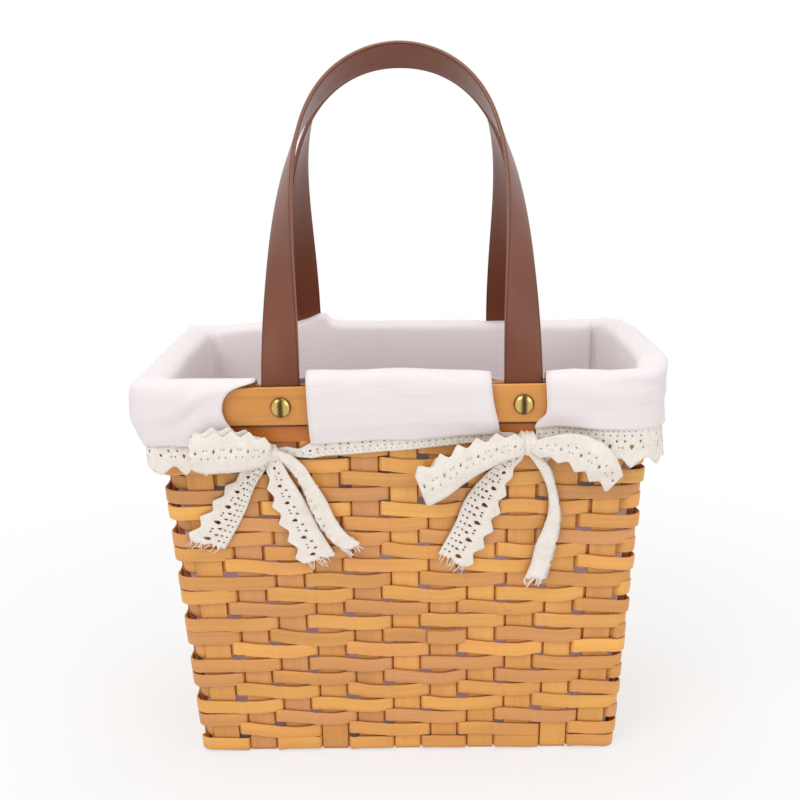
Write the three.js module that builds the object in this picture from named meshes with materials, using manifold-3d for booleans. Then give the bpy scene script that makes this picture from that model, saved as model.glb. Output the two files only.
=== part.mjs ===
// Splint basket with a cloth liner, lace trim and two strap handles.
// Millimetres, +Z up. The origin is the middle of the base, where it stands.
// The long sides face -Y (front) and +Y (back), and X runs along the basket.
import * as THREE from 'three';
import { mergeVertices } from 'three/addons/utils/BufferGeometryUtils.js';
import Module from 'manifold-3d';

const wasm = await Module();
wasm.setup();

// Clearance between pieces that touch
const seat = 0.3;

// Stakes: long flat splints that cross in the base and turn up as the wall
const frontStakes = 11;
const sideStakes = 6;
const stakePitch = 18.9;
const stakeWidth = 13;
const stakeThickness = 1.2;
const stakeBend = 1.4;
const stakeKnee = 0.42;
const cornerStart = 0.4;

// Wall: its corner radius where it stands, how far each side leans out at the
// rim, and how far the corners fan out there along each side. The stakes fan
// out with them, the outer ones most.
const baseCornerRadius = 4.8;
const flare = 13.2;
const cornerFan = 8.5;
const fanCurve = 2.5;

// Weavers: thin rings laid over two stakes and under one
const weaverRows = 22;
const weaverPitch = 7.75;
const weaverWidth = 7.25;
const weaverThickness = 1;
const firstRowHeight = 0.9;
const firstRowLift = 1.2;
const cornerBulge = 1;
const twillRepeat = 3;

// Rim: a plain band, then an outer and an inner hoop that clamp the stakes
const bandWidth = 9;
const bandGap = 0.4;
const hoopWidth = 19.2;
const hoopThickness = 2.5;
const stakeTopDrop = 0.5;
const arcSteps = 5;

// Strap handles
const strapWidth = 18.5;
const strapThickness = 2;
const strapStake = 3;
const strapFan = 1.3;
const tabLength = 18;
const archHalfSpread = 58;
const archRise = 153;
const archSquareness = 4.9;
const archLeanCurve = 1.25;
const archTopTiltDegrees = 41;
const archTwistEase = 1.35;
const archesApart = 0.7;
const archSteps = 38;
const hingeLift = 0.3;
const footRoundingDegrees = [80, 50];

// Rivets
const rivetCapRadius = 5;
const rivetCapHeight = 3;
const rivetPostRadius = 2;
const rivetHeadRadius = 4;
const rivetHeadThickness = 0.9;
const drillLength = 40;
const roundSides = 10;

// Liner
const clothThickness = 1.2;
const rimPad = 3;
const flapBulge = 3.7;
const flapDrop = 28;
const hemGap = 1.7;
const cornerPuff = 1.6;
const clothWave = 0.5;
const clothSteps = 4;

// Slots in the flap, as distances from the middle of the front: the edge of the
// middle flap and the outer edge, at the hem, where it bows out, and at the rim
const slots = {
  left: { inner: { hem: 44.5, rim: 45.3 }, outer: { hem: 77, bow: 91, rim: 71.5 } },
  right: { inner: { hem: 46.6, rim: 42.5 }, outer: { hem: 64, bow: 72.5, rim: 68.8 } },
};
const slotMargin = 10;
const slotDepth = 30;

// Lace trim and bows
const laceWidth = 12;
const laceThickness = 0.8;
const laceToothPitch = 10.5;
const laceToothDepth = 3;
const knotX = 60;
const knotDrop = 6.5;
const knotHalf = [4, 5.5];
const knotDepth = 6;
const bowLoopDepth = 7;
const bowLoopStand = 1.8;
const bowLoopHeight = 15;
const bowLoopPinch = 0.45;
const tailNeck = 4;

// Each bow's loops and tails: length, width of the tail, and the angle that a
// loop droops or a tail swings out, with its side of the knot
const bows = {
  left: {
    loops: [{ side: -1, length: 38, droop: 0 }],
    tails: [{ side: -1, length: 52, width: 15, swing: 32 },
      { side: 1, length: 61, width: 18, swing: 34 }],
  },
  right: {
    loops: [{ side: -1, length: 51, droop: 19 }, { side: 1, length: 43, droop: 12 }],
    tails: [{ side: -1, length: 67, width: 14, swing: 34 },
      { side: 1, length: 68, width: 9, swing: 3 }],
  },
};

// Sizes that follow from the ones above
const cornerX = (frontStakes - 1) / 2 * stakePitch + stakeWidth / 2 + cornerStart;
const cornerY = (sideStakes - 1) / 2 * stakePitch + stakeWidth / 2 + cornerStart;
const bandBottom = firstRowHeight + weaverRows * weaverPitch;
const hoopBottom = bandBottom + bandWidth + bandGap;
const rimHeight = hoopBottom + hoopWidth;
const wallTilt = Math.atan2(flare, rimHeight);
const weaveOffset = stakeThickness / 2 + seat + weaverThickness / 2;
const weaverFace = weaveOffset + weaverThickness / 2;
const tabInner = stakeThickness / 2 + seat;
const tabOuter = tabInner + strapThickness;
const tabMiddle = (tabInner + tabOuter) / 2;
const hoopInner = tabOuter + seat;
const hoopOuter = hoopInner + hoopThickness;
const innerHoopInner = -(tabInner + hoopThickness);
const rivetHeight = (hoopBottom + rimHeight) / 2;
const strapX = strapStake * stakePitch + strapFan;
const baseCrossing = (stakeThickness + seat) / 2;
const floorTop = 2 * stakeThickness + seat;

// Looks
const finish = (color, roughness, metalness = 0) =>
  new THREE.MeshStandardMaterial({ color, roughness, metalness });
const splintWood = finish(0xdca05a, 0.55);
const rimWood = finish(0xd28c3c, 0.4);
const strapLeather = finish(0x74493a, 0.45);
const brass = finish(0xc9aa50, 0.25, 1);
const linerCloth = finish(0xece6ea, 0.9);
const laceCotton = finish(0xeee4d4, 0.95);

const basket = new THREE.Group();

function addPiece(name, geometry, material, turned = false) {
  const mesh = new THREE.Mesh(geometry, material);
  mesh.name = name;
  mesh.rotation.z = turned ? Math.PI : 0;
  basket.add(mesh);
}

// Solids from loops of points

function meshFrom(points, faces) {
  const geometry = new THREE.BufferGeometry();
  geometry.setAttribute('position',
    new THREE.Float32BufferAttribute(points.flatMap((p) => [p.x, p.y, p.z]), 3));
  geometry.setIndex(faces.flat());
  return geometry;
}

// Joins a row of sections, each a loop of points that runs the same way.
// A closed row meets its own start, and an open one gets flat ends.
function joinSections(sections, closed) {
  const size = sections[0].length;
  const faces = [];
  const count = closed ? sections.length : sections.length - 1;
  for (let i = 0; i < count; i++) {
    const here = i * size;
    const next = ((i + 1) % sections.length) * size;
    for (let k = 0; k < size; k++) {
      const up = (k + 1) % size;
      faces.push([here + k, next + k, next + up]);
      faces.push([here + k, next + up, here + up]);
    }
  }
  if (!closed) {
    const last = (sections.length - 1) * size;
    for (let k = 1; k < size - 1; k++) {
      faces.push([0, k, k + 1]);
      faces.push([last, last + k + 1, last + k]);
    }
  }
  return meshFrom(sections.flat(), faces);
}

function toManifold(geometry) {
  const bare = geometry.clone();
  bare.deleteAttribute('normal');
  bare.deleteAttribute('uv');
  const merged = mergeVertices(bare, 1e-4);
  return new wasm.Manifold(new wasm.Mesh({
    numProp: 3,
    vertProperties: new Float32Array(merged.attributes.position.array),
    triVerts: new Uint32Array(merged.index.array),
  }));
}

function fromManifold(solid) {
  const { vertProperties, triVerts } = solid.getMesh();
  const geometry = new THREE.BufferGeometry();
  geometry.setAttribute('position', new THREE.BufferAttribute(vertProperties, 3));
  geometry.setIndex(new THREE.BufferAttribute(triVerts, 1));
  return geometry;
}

function cut(geometry, cutters) {
  return fromManifold(cutters.reduce(
    (solid, cutter) => solid.subtract(toManifold(cutter)), toManifold(geometry)));
}

function fuse(geometries) {
  return fromManifold(geometries.map(toManifold).reduce((a, b) => a.add(b)));
}

// The wall's middle surface: straight sides round four corner centres, which
// fan out with height. An offset is measured outwards from it.

const wallReach = (z) => baseCornerRadius + flare * z / rimHeight;
const cornerRadius = (z) => wallReach(z) - cornerFan * z / rimHeight;

// How far a place along a side has moved out at a height
const fanShift = (along, corner, z) =>
  Math.sign(along) * cornerFan * Math.pow(Math.abs(along) / corner, fanCurve) * z / rimHeight;

// The place along the front at the base that comes to x at a height
function beforeFan(x, z) {
  let place = x;
  for (let i = 0; i < 6; i++) place = x - fanShift(place, cornerX, z);
  return place;
}

const coreStation = (x, y, nx, ny) => ({ x, y, nx, ny });

function wallPoint(station, z, offset) {
  const reach = cornerRadius(z) + offset;
  return new THREE.Vector3(
    station.x + fanShift(station.x, cornerX, z) + reach * station.nx,
    station.y + fanShift(station.y, cornerY, z) + reach * station.ny, z);
}

// Corner stations, counted anticlockwise from the front right
function cornerStations(corner, angles) {
  const sign = [[1, -1], [1, 1], [-1, 1], [-1, -1]][corner];
  const start = (corner - 1) * Math.PI / 2;
  return angles.map((share) => {
    const angle = start + share * Math.PI / 2;
    return coreStation(sign[0] * cornerX, sign[1] * cornerY, Math.cos(angle), Math.sin(angle));
  });
}

const evenShares = (steps) => Array.from({ length: steps + 1 }, (_, i) => i / steps);

// Stations all round, with the straight sides divided where it is asked for
function roundStations(sideSteps) {
  const stations = [];
  for (let corner = 0; corner < 4; corner++) {
    const arc = cornerStations(corner, evenShares(arcSteps));
    const from = arc[arc.length - 1];
    const to = cornerStations((corner + 1) % 4, [0])[0];
    stations.push(...arc);
    for (let i = 1; i < sideSteps; i++) {
      const share = i / sideSteps;
      stations.push(coreStation(from.x + (to.x - from.x) * share,
        from.y + (to.y - from.y) * share, from.nx, from.ny));
    }
  }
  return stations;
}

// A flat ring or strip that follows the wall: inner and outer offsets, and its
// lower and upper edges, each a number or a function of the station's index
function wallStrip(stations, inner, outer, low, high, closed = true) {
  const at = (value, i) => (typeof value === 'function' ? value(i) : value);
  const sections = stations.map((station, i) => [
    wallPoint(station, at(low, i), at(inner, i)),
    wallPoint(station, at(low, i), at(outer, i)),
    wallPoint(station, at(high, i), at(outer, i)),
    wallPoint(station, at(high, i), at(inner, i)),
  ]);
  return joinSections(sections, closed);
}

// A frame on the front wall: X along the basket, Y up the wall, Z straight out
function onFrontWall(geometry, x, z, offset = 0) {
  const up = new THREE.Vector3(0, -Math.sin(wallTilt), Math.cos(wallTilt));
  const out = new THREE.Vector3(0, -Math.cos(wallTilt), -Math.sin(wallTilt));
  const along = new THREE.Vector3(1, 0, 0);
  const place = new THREE.Matrix4().makeBasis(along, up, out);
  const origin = new THREE.Vector3(x, -cornerY - wallReach(z), z).addScaledVector(out, offset);
  return geometry.applyMatrix4(place.setPosition(origin));
}

// Stakes

// Turns a path in a plane into the outline of a strip of the given thickness
function thicken(path, thickness) {
  const sides = [[], []];
  path.forEach((point, i) => {
    const before = path[Math.max(i - 1, 0)];
    const after = path[Math.min(i + 1, path.length - 1)];
    const inward = i > 0 ? point.clone().sub(before).normalize() : after.clone().sub(point).normalize();
    const onward = i < path.length - 1 ? after.clone().sub(point).normalize() : inward;
    const middle = inward.clone().add(onward).normalize();
    const reach = thickness / 2 / middle.dot(inward);
    const normal = new THREE.Vector2(-middle.y, middle.x).multiplyScalar(reach);
    sides[0].push(point.clone().add(normal));
    sides[1].push(point.clone().sub(normal));
  });
  return [...sides[0], ...sides[1].reverse()];
}

// A stake's path across the base and up both walls: it passes over or under
// each splint that crosses it, and leans out with the wall
function stakePath(crossings, lowFirst, corner) {
  const level = (k) => floorTop / 2 + ((k % 2 === 0) === lowFirst ? -baseCrossing : baseCrossing);
  const half = stakeWidth / 2 + seat;
  const middle = (crossings - 1) / 2;
  const path = [];
  for (let k = 0; k < crossings; k++) {
    const centre = (k - middle) * stakePitch;
    if (k > 0) path.push(new THREE.Vector2(centre - half, level(k)));
    if (k < crossings - 1) path.push(new THREE.Vector2(centre + half, level(k)));
  }
  const wall = (side, z) => new THREE.Vector2(side * (corner + wallReach(z)), z);
  const turnUp = (side, z) => {
    const foot = wall(side, z + stakeBend);
    return [
      new THREE.Vector2(foot.x - side * stakeBend, z),
      new THREE.Vector2(foot.x - side * stakeKnee, z + stakeKnee),
      foot,
      wall(side, rimHeight - stakeTopDrop),
    ];
  };
  return [...turnUp(-1, level(0)).reverse(), ...path, ...turnUp(1, level(crossings - 1))];
}

function stakeSolid(path) {
  const shape = new THREE.Shape(thicken(path, stakeThickness));
  const strip = new THREE.ExtrudeGeometry(shape,
    { depth: stakeWidth, bevelEnabled: false, steps: 1 });
  return strip.translate(0, 0, -stakeWidth / 2);
}

// Turns a strip upright to run along one axis, leans it with the fan of its
// side and moves it to its place there
function standStake(strip, run, cross, place, corner) {
  const up = new THREE.Vector3(0, 0, 1);
  const lean = fanShift(place, corner, rimHeight) / rimHeight;
  const leaning = up.clone().addScaledVector(cross, lean * Math.sign(cross.x + cross.y));
  const side = cross.clone();
  strip.applyMatrix4(new THREE.Matrix4().makeBasis(run, leaning, side));
  const shift = side.clone().multiplyScalar(place * Math.sign(cross.x + cross.y));
  return strip.translate(shift.x, shift.y, 0);
}

// A round hole through the front wall's layers at a strap's rivet
const rivetHole = (x) => onFrontWall(new THREE.CylinderGeometry(rivetPostRadius + seat,
  rivetPostRadius + seat, drillLength, roundSides).rotateX(Math.PI / 2), x, rivetHeight);
const backTurn = new THREE.Matrix4().makeRotationZ(Math.PI);
const rivetHoles = (places) => places.flatMap((x) =>
  [rivetHole(x), rivetHole(-x).applyMatrix4(backTurn)]);

const lengthwise = (frontStakes - 1) / 2;
for (let i = -lengthwise; i <= lengthwise; i++) {
  const place = i + lengthwise;
  const underFirst = Math.abs(i % 2) === 0;
  const strip = stakeSolid(stakePath(sideStakes, underFirst, cornerY));
  const stake = standStake(strip, new THREE.Vector3(0, 1, 0), new THREE.Vector3(1, 0, 0),
    i * stakePitch, cornerX);
  const pierced = Math.abs(i) === strapStake;
  addPiece(`cross_splint_${place + 1}`,
    pierced ? cut(stake, rivetHoles([Math.sign(i) * strapX])) : stake, splintWood);
}

for (let j = 0; j < sideStakes; j++) {
  const y = (j - (sideStakes - 1) / 2) * stakePitch;
  const strip = stakeSolid(stakePath(frontStakes, j % 2 === 0, cornerX));
  addPiece(`long_splint_${j + 1}`, standStake(strip, new THREE.Vector3(1, 0, 0),
    new THREE.Vector3(0, -1, 0), y, cornerY), splintWood);
}

// Weavers

// Every stake where it stands in the wall, anticlockwise from the front left
function stakeRing() {
  const ring = [];
  const along = (count, i) => (i - (count - 1) / 2) * stakePitch;
  for (let i = 0; i < frontStakes; i++) {
    ring.push({ x: along(frontStakes, i), y: -cornerY, nx: 0, ny: -1, corner: i === frontStakes - 1 ? 0 : -1 });
  }
  for (let j = 0; j < sideStakes; j++) {
    ring.push({ x: cornerX, y: along(sideStakes, j), nx: 1, ny: 0, corner: j === sideStakes - 1 ? 1 : -1 });
  }
  for (let i = frontStakes - 1; i >= 0; i--) {
    ring.push({ x: along(frontStakes, i), y: cornerY, nx: 0, ny: 1, corner: i === 0 ? 2 : -1 });
  }
  for (let j = sideStakes - 1; j >= 0; j--) {
    ring.push({ x: -cornerX, y: along(sideStakes, j), nx: -1, ny: 0, corner: j === 0 ? 3 : -1 });
  }
  return ring;
}

// The first row goes over and under by turns, and the rest over two stakes and
// under one, a stake further on in each row
const goesOutside = (row, stake) => (row === 0
  ? stake % 2 === 0
  : (stake - lengthwise - row) % twillRepeat !== 0);

function weaverRing(row) {
  const ring = stakeRing();
  const side = (k) => (goesOutside(row, (k + ring.length) % ring.length) ? 1 : -1);
  const half = stakeWidth / 2 + seat;
  const stations = [];
  const sides = [];
  ring.forEach((stake, k) => {
    const cornerBefore = ring[(k + ring.length - 1) % ring.length].corner >= 0;
    const edge = (step) => coreStation(stake.x - stake.ny * step, stake.y + stake.nx * step,
      stake.nx, stake.ny);
    if (cornerBefore || side(k - 1) !== side(k)) {
      stations.push(edge(-half));
      sides.push(side(k));
    }
    if (stake.corner >= 0 || side(k + 1) !== side(k)) {
      stations.push(edge(half));
      sides.push(side(k));
    }
    if (stake.corner >= 0) {
      stations.push(...cornerStations(stake.corner, [0.5]));
      sides.push((side(k) + side(k + 1)) / 2 + cornerBulge / weaveOffset);
    }
  });
  const low = firstRowHeight + row * weaverPitch;
  const lift = row === 0 ? firstRowLift : 0;
  return wallStrip(stations,
    (i) => sides[i] * weaveOffset - weaverThickness / 2,
    (i) => sides[i] * weaveOffset + weaverThickness / 2,
    (i) => low + lift * (1 - Math.min(sides[i], 1)) / 2,
    low + weaverWidth);
}

for (let row = 0; row < weaverRows; row++) {
  addPiece(`weaver_${String(row + 1).padStart(2, '0')}`, weaverRing(row), splintWood);
}

// Rim

const plainStations = roundStations(1);
addPiece('rim_band', wallStrip(plainStations, weaverFace - weaverThickness, weaverFace,
  bandBottom, bandBottom + bandWidth), splintWood);
const hoop = (inner, outer) => cut(wallStrip(plainStations, inner, outer, hoopBottom, rimHeight),
  rivetHoles([-strapX, strapX]));
addPiece('outer_rim_hoop', hoop(hoopInner, hoopOuter), rimWood);
addPiece('inner_rim_hoop', hoop(innerHoopInner, -tabInner), rimWood);

// Handles: each strap is riveted behind the outer hoop and bends at the rim,
// so its two ends stay with the basket and the arch between them swings

function tabSolid() {
  const shape = new THREE.Shape();
  const half = strapWidth / 2;
  const round = strapWidth / 4;
  shape.moveTo(half, -tabLength + round);
  shape.lineTo(half, 0);
  shape.lineTo(-half, 0);
  shape.lineTo(-half, -tabLength + round);
  shape.absarc(-half + round, -tabLength + round, round, Math.PI, Math.PI * 1.5);
  shape.absarc(half - round, -tabLength + round, round, Math.PI * 1.5, Math.PI * 2);
  const hole = new THREE.Path();
  const drop = (rimHeight - rivetHeight) / Math.cos(wallTilt);
  hole.absarc(0, -drop, rivetPostRadius + seat, 0, Math.PI * 2, true);
  shape.holes.push(hole);
  return new THREE.ExtrudeGeometry(shape,
    { depth: strapThickness, bevelEnabled: false, curveSegments: 6 });
}

const hingeHeight = rimHeight + strapThickness / 2 + hingeLift;
const hingeY = -(cornerY + wallReach(rimHeight) + tabMiddle);

// The two arches lean together until their rear edges all but meet at the top
const archTopTilt = THREE.MathUtils.degToRad(archTopTiltDegrees);
const archReach = -hingeY - archesApart / 2
  - (strapWidth * Math.cos(archTopTilt) + strapThickness * Math.sin(archTopTilt)) / 2;
const archLean = Math.atan2(archReach, archRise);
const archTwist = Math.PI / 2 + archTopTilt - archLean;

// The arch's middle line, from its left foot (0) over the top (0.5) to the right
class ArchCurve extends THREE.Curve {
  getPoint(t, target = new THREE.Vector3()) {
    const angle = t * Math.PI;
    const rise = Math.pow(Math.sin(angle), 2 / archSquareness);
    const spread = strapX + (archHalfSpread - strapX) * Math.min(1, 2 * rise);
    return target.set(-spread * Math.cos(angle),
      hingeY + archReach * Math.pow(rise, archLeanCurve), hingeHeight + archRise * rise);
  }
}

// Sections across the strap, which turns from flat against the wall at its
// feet to face up at the top
function archSolid() {
  const curve = new ArchCurve();
  curve.arcLengthDivisions = 2000;
  const front = new THREE.Vector3(0, -Math.cos(archLean), Math.sin(archLean));
  const section = (centre, tangent, twist, thickness) => {
    const facing = front.clone().addScaledVector(tangent, -front.dot(tangent)).normalize();
    const inwards = tangent.clone().cross(facing);
    const across = inwards.multiplyScalar(Math.cos(twist)).addScaledVector(facing, Math.sin(twist));
    const out = across.clone().cross(tangent);
    return [[1, -1], [1, 1], [-1, 1], [-1, -1]].map(([w, n]) => centre.clone()
      .addScaledVector(across, w * strapWidth / 2).addScaledVector(out, n * thickness / 2));
  };
  const sections = [];
  const roundEnd = (u, direction) => footRoundingDegrees.map((degrees) => {
    const angle = THREE.MathUtils.degToRad(degrees);
    const reach = direction * strapThickness / 2 * Math.sin(angle);
    const foot = curve.getPointAt(u);
    foot.z -= Math.abs(reach);
    return section(foot, new THREE.Vector3(0, 0, -direction), 0, strapThickness * Math.cos(angle));
  });
  sections.push(...roundEnd(0, -1));
  for (let i = 0; i <= archSteps; i++) {
    const u = i / archSteps;
    const toTop = 1 - Math.abs(1 - 2 * u);
    const twist = archTwist * (1 - Math.pow(1 - toTop, archTwistEase));
    const tangent = i === 0 || i === archSteps
      ? new THREE.Vector3(0, 0, i === 0 ? 1 : -1)
      : curve.getTangentAt(u);
    sections.push(section(curve.getPointAt(u), tangent, twist, strapThickness));
  }
  sections.push(...roundEnd(1, 1).reverse());
  return joinSections(sections, false);
}

for (const [where, turned] of [['front', false], ['back', true]]) {
  addPiece(`${where}_handle_arch`, archSolid(), strapLeather, turned);
  for (const [hand, x] of [['left', -strapX], ['right', strapX]]) {
    const named = turned ? { left: 'right', right: 'left' }[hand] : hand;
    addPiece(`${where}_${named}_strap_end`, onFrontWall(tabSolid(), x, rimHeight, tabInner),
      strapLeather, turned);
  }
}

// Rivets: a domed cap outside, a post through every layer, a flat head inside

function rivetSolid() {
  const capSeat = hoopOuter + seat;
  const headSeat = innerHoopInner - seat;
  const dome = (degrees) => {
    const angle = THREE.MathUtils.degToRad(degrees);
    return new THREE.Vector2(rivetCapRadius * Math.cos(angle),
      capSeat + rivetCapHeight * Math.sin(angle));
  };
  const profile = [
    new THREE.Vector2(0, headSeat - rivetHeadThickness),
    new THREE.Vector2(rivetHeadRadius, headSeat - rivetHeadThickness),
    new THREE.Vector2(rivetHeadRadius, headSeat),
    new THREE.Vector2(rivetPostRadius, headSeat),
    new THREE.Vector2(rivetPostRadius, capSeat),
    dome(0),
    dome(35),
    dome(65),
    new THREE.Vector2(0, capSeat + rivetCapHeight),
  ];
  return new THREE.LatheGeometry(profile, roundSides).rotateX(Math.PI / 2);
}

for (const [where, turned] of [['front', false], ['back', true]]) {
  for (const [hand, x] of [['left', -strapX], ['right', strapX]]) {
    const named = turned ? { left: 'right', right: 'left' }[hand] : hand;
    addPiece(`${where}_${named}_rivet`, onFrontWall(rivetSolid(), x, rivetHeight), brass, turned);
  }
}

// Liner: a bag inside the wall, folded over both hoops and down outside, with
// a slot at each strap

const linerWall = weaverFace + seat;
const linerTopWall = -innerHoopInner + rivetHeadThickness + 2 * seat;
const hemHeight = rimHeight - flapDrop;

function linerSolid() {
  const stations = roundStations(clothSteps);
  const underFlap = hoopOuter + seat;
  const hemInner = weaverFace + hemGap;
  const puff = (station) => 4 * cornerPuff * (station.nx * station.ny) ** 2;
  const wave = (i) => clothWave * Math.sin(i * Math.PI / 2);
  // Each loop: offset from the wall, height, and whether it is on the loose side
  const profile = [
    [-linerWall, floorTop + seat, 0],
    [-linerTopWall, hoopBottom - 2 * seat, 0],
    [-linerTopWall, rimHeight + seat, 0],
    [underFlap, rimHeight + seat, 0],
    [underFlap, hoopBottom, 0],
    [hemInner, hemHeight, 0],
    [hemInner + clothThickness, hemHeight, 1],
    [underFlap + clothThickness + flapBulge / 3, hoopBottom, 1],
    [underFlap + flapBulge, rimHeight - rimPad * 2, 1],
    [underFlap + flapBulge / 2, rimHeight + rimPad * 0.85, 1],
    [-clothThickness, rimHeight + rimPad + seat, 0],
    [-linerTopWall - clothThickness, rimHeight + seat, 0],
    [-linerTopWall - clothThickness, hoopBottom - 2 * seat, 0],
    [-linerWall - clothThickness, floorTop + seat + clothThickness, 0],
  ];
  const loops = profile.map(([offset, z, loose]) => stations.map((station, i) =>
    wallPoint(station, z, offset + loose * (puff(station) + wave(i)))));
  const points = [...loops.flat(), new THREE.Vector3(0, 0, profile[0][1]),
    new THREE.Vector3(0, 0, profile[profile.length - 1][1])];
  const size = stations.length;
  const under = loops.length * size;
  const faces = [];
  for (let k = 0; k < size; k++) {
    const next = (k + 1) % size;
    for (let row = 0; row < loops.length - 1; row++) {
      const a = row * size;
      const b = a + size;
      faces.push([a + k, a + next, b + next]);
      faces.push([a + k, b + next, b + k]);
    }
    const top = (loops.length - 1) * size;
    faces.push([under, next, k]);
    faces.push([under + 1, top + k, top + next]);
  }
  return meshFrom(points, faces);
}

// A slot's outline seen from the front: straight beside the middle flap and
// bowed on the other side, open at the hem
function slotCutter({ inner, outer }) {
  const low = hemHeight - slotMargin;
  const high = rimHeight + slotMargin;
  const shape = new THREE.Shape();
  shape.moveTo(inner.hem, low);
  shape.lineTo(outer.hem, low);
  shape.lineTo(outer.hem, hemHeight);
  shape.quadraticCurveTo(outer.bow, (hemHeight + rimHeight) / 2, outer.rim, rimHeight);
  shape.lineTo(outer.rim, high);
  shape.lineTo(inner.rim, high);
  const inside = cornerY + wallReach(rimHeight) + innerHoopInner;
  const block = new THREE.ExtrudeGeometry(shape,
    { depth: slotDepth, bevelEnabled: false, curveSegments: 6 });
  return block.rotateX(Math.PI / 2).translate(0, -inside, 0);
}

function mirrored(geometry) {
  const index = geometry.index ? geometry.index.array
    : Uint32Array.from({ length: geometry.attributes.position.count }, (_, i) => i);
  const flipped = [];
  for (let i = 0; i < index.length; i += 3) flipped.push(index[i], index[i + 2], index[i + 1]);
  const copy = geometry.clone().applyMatrix4(new THREE.Matrix4().makeScale(-1, 1, 1));
  copy.setIndex(flipped);
  return copy;
}

const frontSlots = [slotCutter(slots.right), mirrored(slotCutter(slots.left))];
const backSlots = frontSlots.map((slot) => slot.clone().applyMatrix4(backTurn));
addPiece('cloth_liner', cut(linerSolid(), [...frontSlots, ...backSlots]), linerCloth);

// Lace: a toothed ribbon under each flap's hem. The front and back ribbons end
// in the bows that close the slots below the straps.

const laceTop = hemHeight - seat;
const laceOffset = weaverFace + hemGap + clothThickness / 2;

function laceStrip(stations) {
  return wallStrip(stations, laceOffset - laceThickness / 2, laceOffset + laceThickness / 2,
    (i) => laceTop - laceWidth + (i % 2) * laceToothDepth, laceTop, false);
}

// A run of stations along the core rectangle, a half tooth apart, from one
// front place round a side to the same place at the back
function sideLaceStations() {
  const start = beforeFan(knotX + knotHalf[0] + seat, laceTop);
  const straight = Math.max(1, Math.round((cornerX - start) / laceToothPitch) * 2);
  const across = Math.round(2 * cornerY / laceToothPitch) * 2;
  const run = [];
  for (let i = 0; i < straight; i++) {
    run.push(coreStation(start + (cornerX - start) * i / straight, -cornerY, 0, -1));
  }
  run.push(...cornerStations(0, evenShares(4)));
  for (let i = 1; i < across; i++) {
    run.push(coreStation(cornerX, cornerY * (2 * i / across - 1), 1, 0));
  }
  run.push(...cornerStations(1, evenShares(4)));
  for (let i = straight - 1; i >= 0; i--) {
    run.push(coreStation(start + (cornerX - start) * i / straight, cornerY, 0, 1));
  }
  return run;
}

// A loop seen from above is a slim drop with its point in the knot. It is
// pinched there, and droops about it.
function bowLoop({ side, length, droop }) {
  const drop = (inset) => {
    const path = new THREE.Path();
    const start = side * inset * 2;
    const end = side * (length - inset);
    const deep = bowLoopDepth / 2 - inset;
    path.moveTo(start, -0.4 * deep);
    path.bezierCurveTo(end * 0.4, -deep, end, -1.6 * deep, end, 0);
    path.bezierCurveTo(end, 1.6 * deep, end * 0.4, deep, start, 0.4 * deep);
    return path.getPoints(4);
  };
  const shape = new THREE.Shape(drop(0));
  shape.holes.push(new THREE.Path(drop(laceThickness).reverse()));
  const loop = new THREE.ExtrudeGeometry(shape, { depth: bowLoopHeight, bevelEnabled: false });
  loop.rotateX(-Math.PI / 2).translate(0, -bowLoopHeight / 2, bowLoopDepth / 2);
  const points = loop.attributes.position;
  for (let i = 0; i < points.count; i++) {
    const out = Math.sqrt(Math.abs(points.getX(i)) / length);
    points.setY(i, points.getY(i) * (bowLoopPinch + (1 - bowLoopPinch) * out));
  }
  return loop.rotateZ(-side * THREE.MathUtils.degToRad(droop));
}

function bowTail({ side, length, width, swing }) {
  const tail = new THREE.Shape([
    new THREE.Vector2(-tailNeck / 2, 0),
    new THREE.Vector2(-width / 2, -length * 0.5),
    new THREE.Vector2(-width / 2, -length + laceToothDepth),
    new THREE.Vector2(0, -length),
    new THREE.Vector2(width / 2, -length + laceToothDepth),
    new THREE.Vector2(width / 2, -length * 0.5),
    new THREE.Vector2(tailNeck / 2, 0),
  ]);
  return new THREE.ExtrudeGeometry(tail, { depth: laceThickness, bevelEnabled: false })
    .rotateZ(side * THREE.MathUtils.degToRad(swing));
}

function bowPieces(x, { loops, tails }) {
  const knotZ = laceTop - knotDrop;
  const loopBack = laceOffset + laceThickness / 2 + bowLoopStand;
  const tailBack = laceOffset + laceThickness / 2 + seat;
  const knot = new THREE.BoxGeometry(2 * knotHalf[0], 2 * knotHalf[1], knotDepth)
    .translate(0, 0, knotDepth / 2);
  return [
    onFrontWall(knot, x, knotZ, laceOffset - laceThickness / 4),
    ...loops.map((loop) => onFrontWall(bowLoop(loop), x, knotZ, loopBack)),
    ...tails.map((tail, k) => onFrontWall(bowTail(tail), x, knotZ,
      tailBack + (1 - k) * laceThickness * 0.7)),
  ];
}

function frontLace() {
  const steps = Math.round(2 * knotX / laceToothPitch) * 2;
  const stations = evenShares(steps).map((share) =>
    coreStation(beforeFan(knotX * (2 * share - 1), laceTop), -cornerY, 0, -1));
  return fuse([laceStrip(stations), ...bowPieces(-knotX, bows.left), ...bowPieces(knotX, bows.right)]);
}

addPiece('front_lace_with_bows', frontLace(), laceCotton);
addPiece('back_lace_with_bows', frontLace(), laceCotton, true);
addPiece('right_lace', laceStrip(sideLaceStations()), laceCotton);
addPiece('left_lace', laceStrip(sideLaceStations()), laceCotton, true);

export default basket;
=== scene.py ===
import math

import bmesh
import bpy
import numpy as np
from mathutils import Matrix, Vector, geometry, noise


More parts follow.
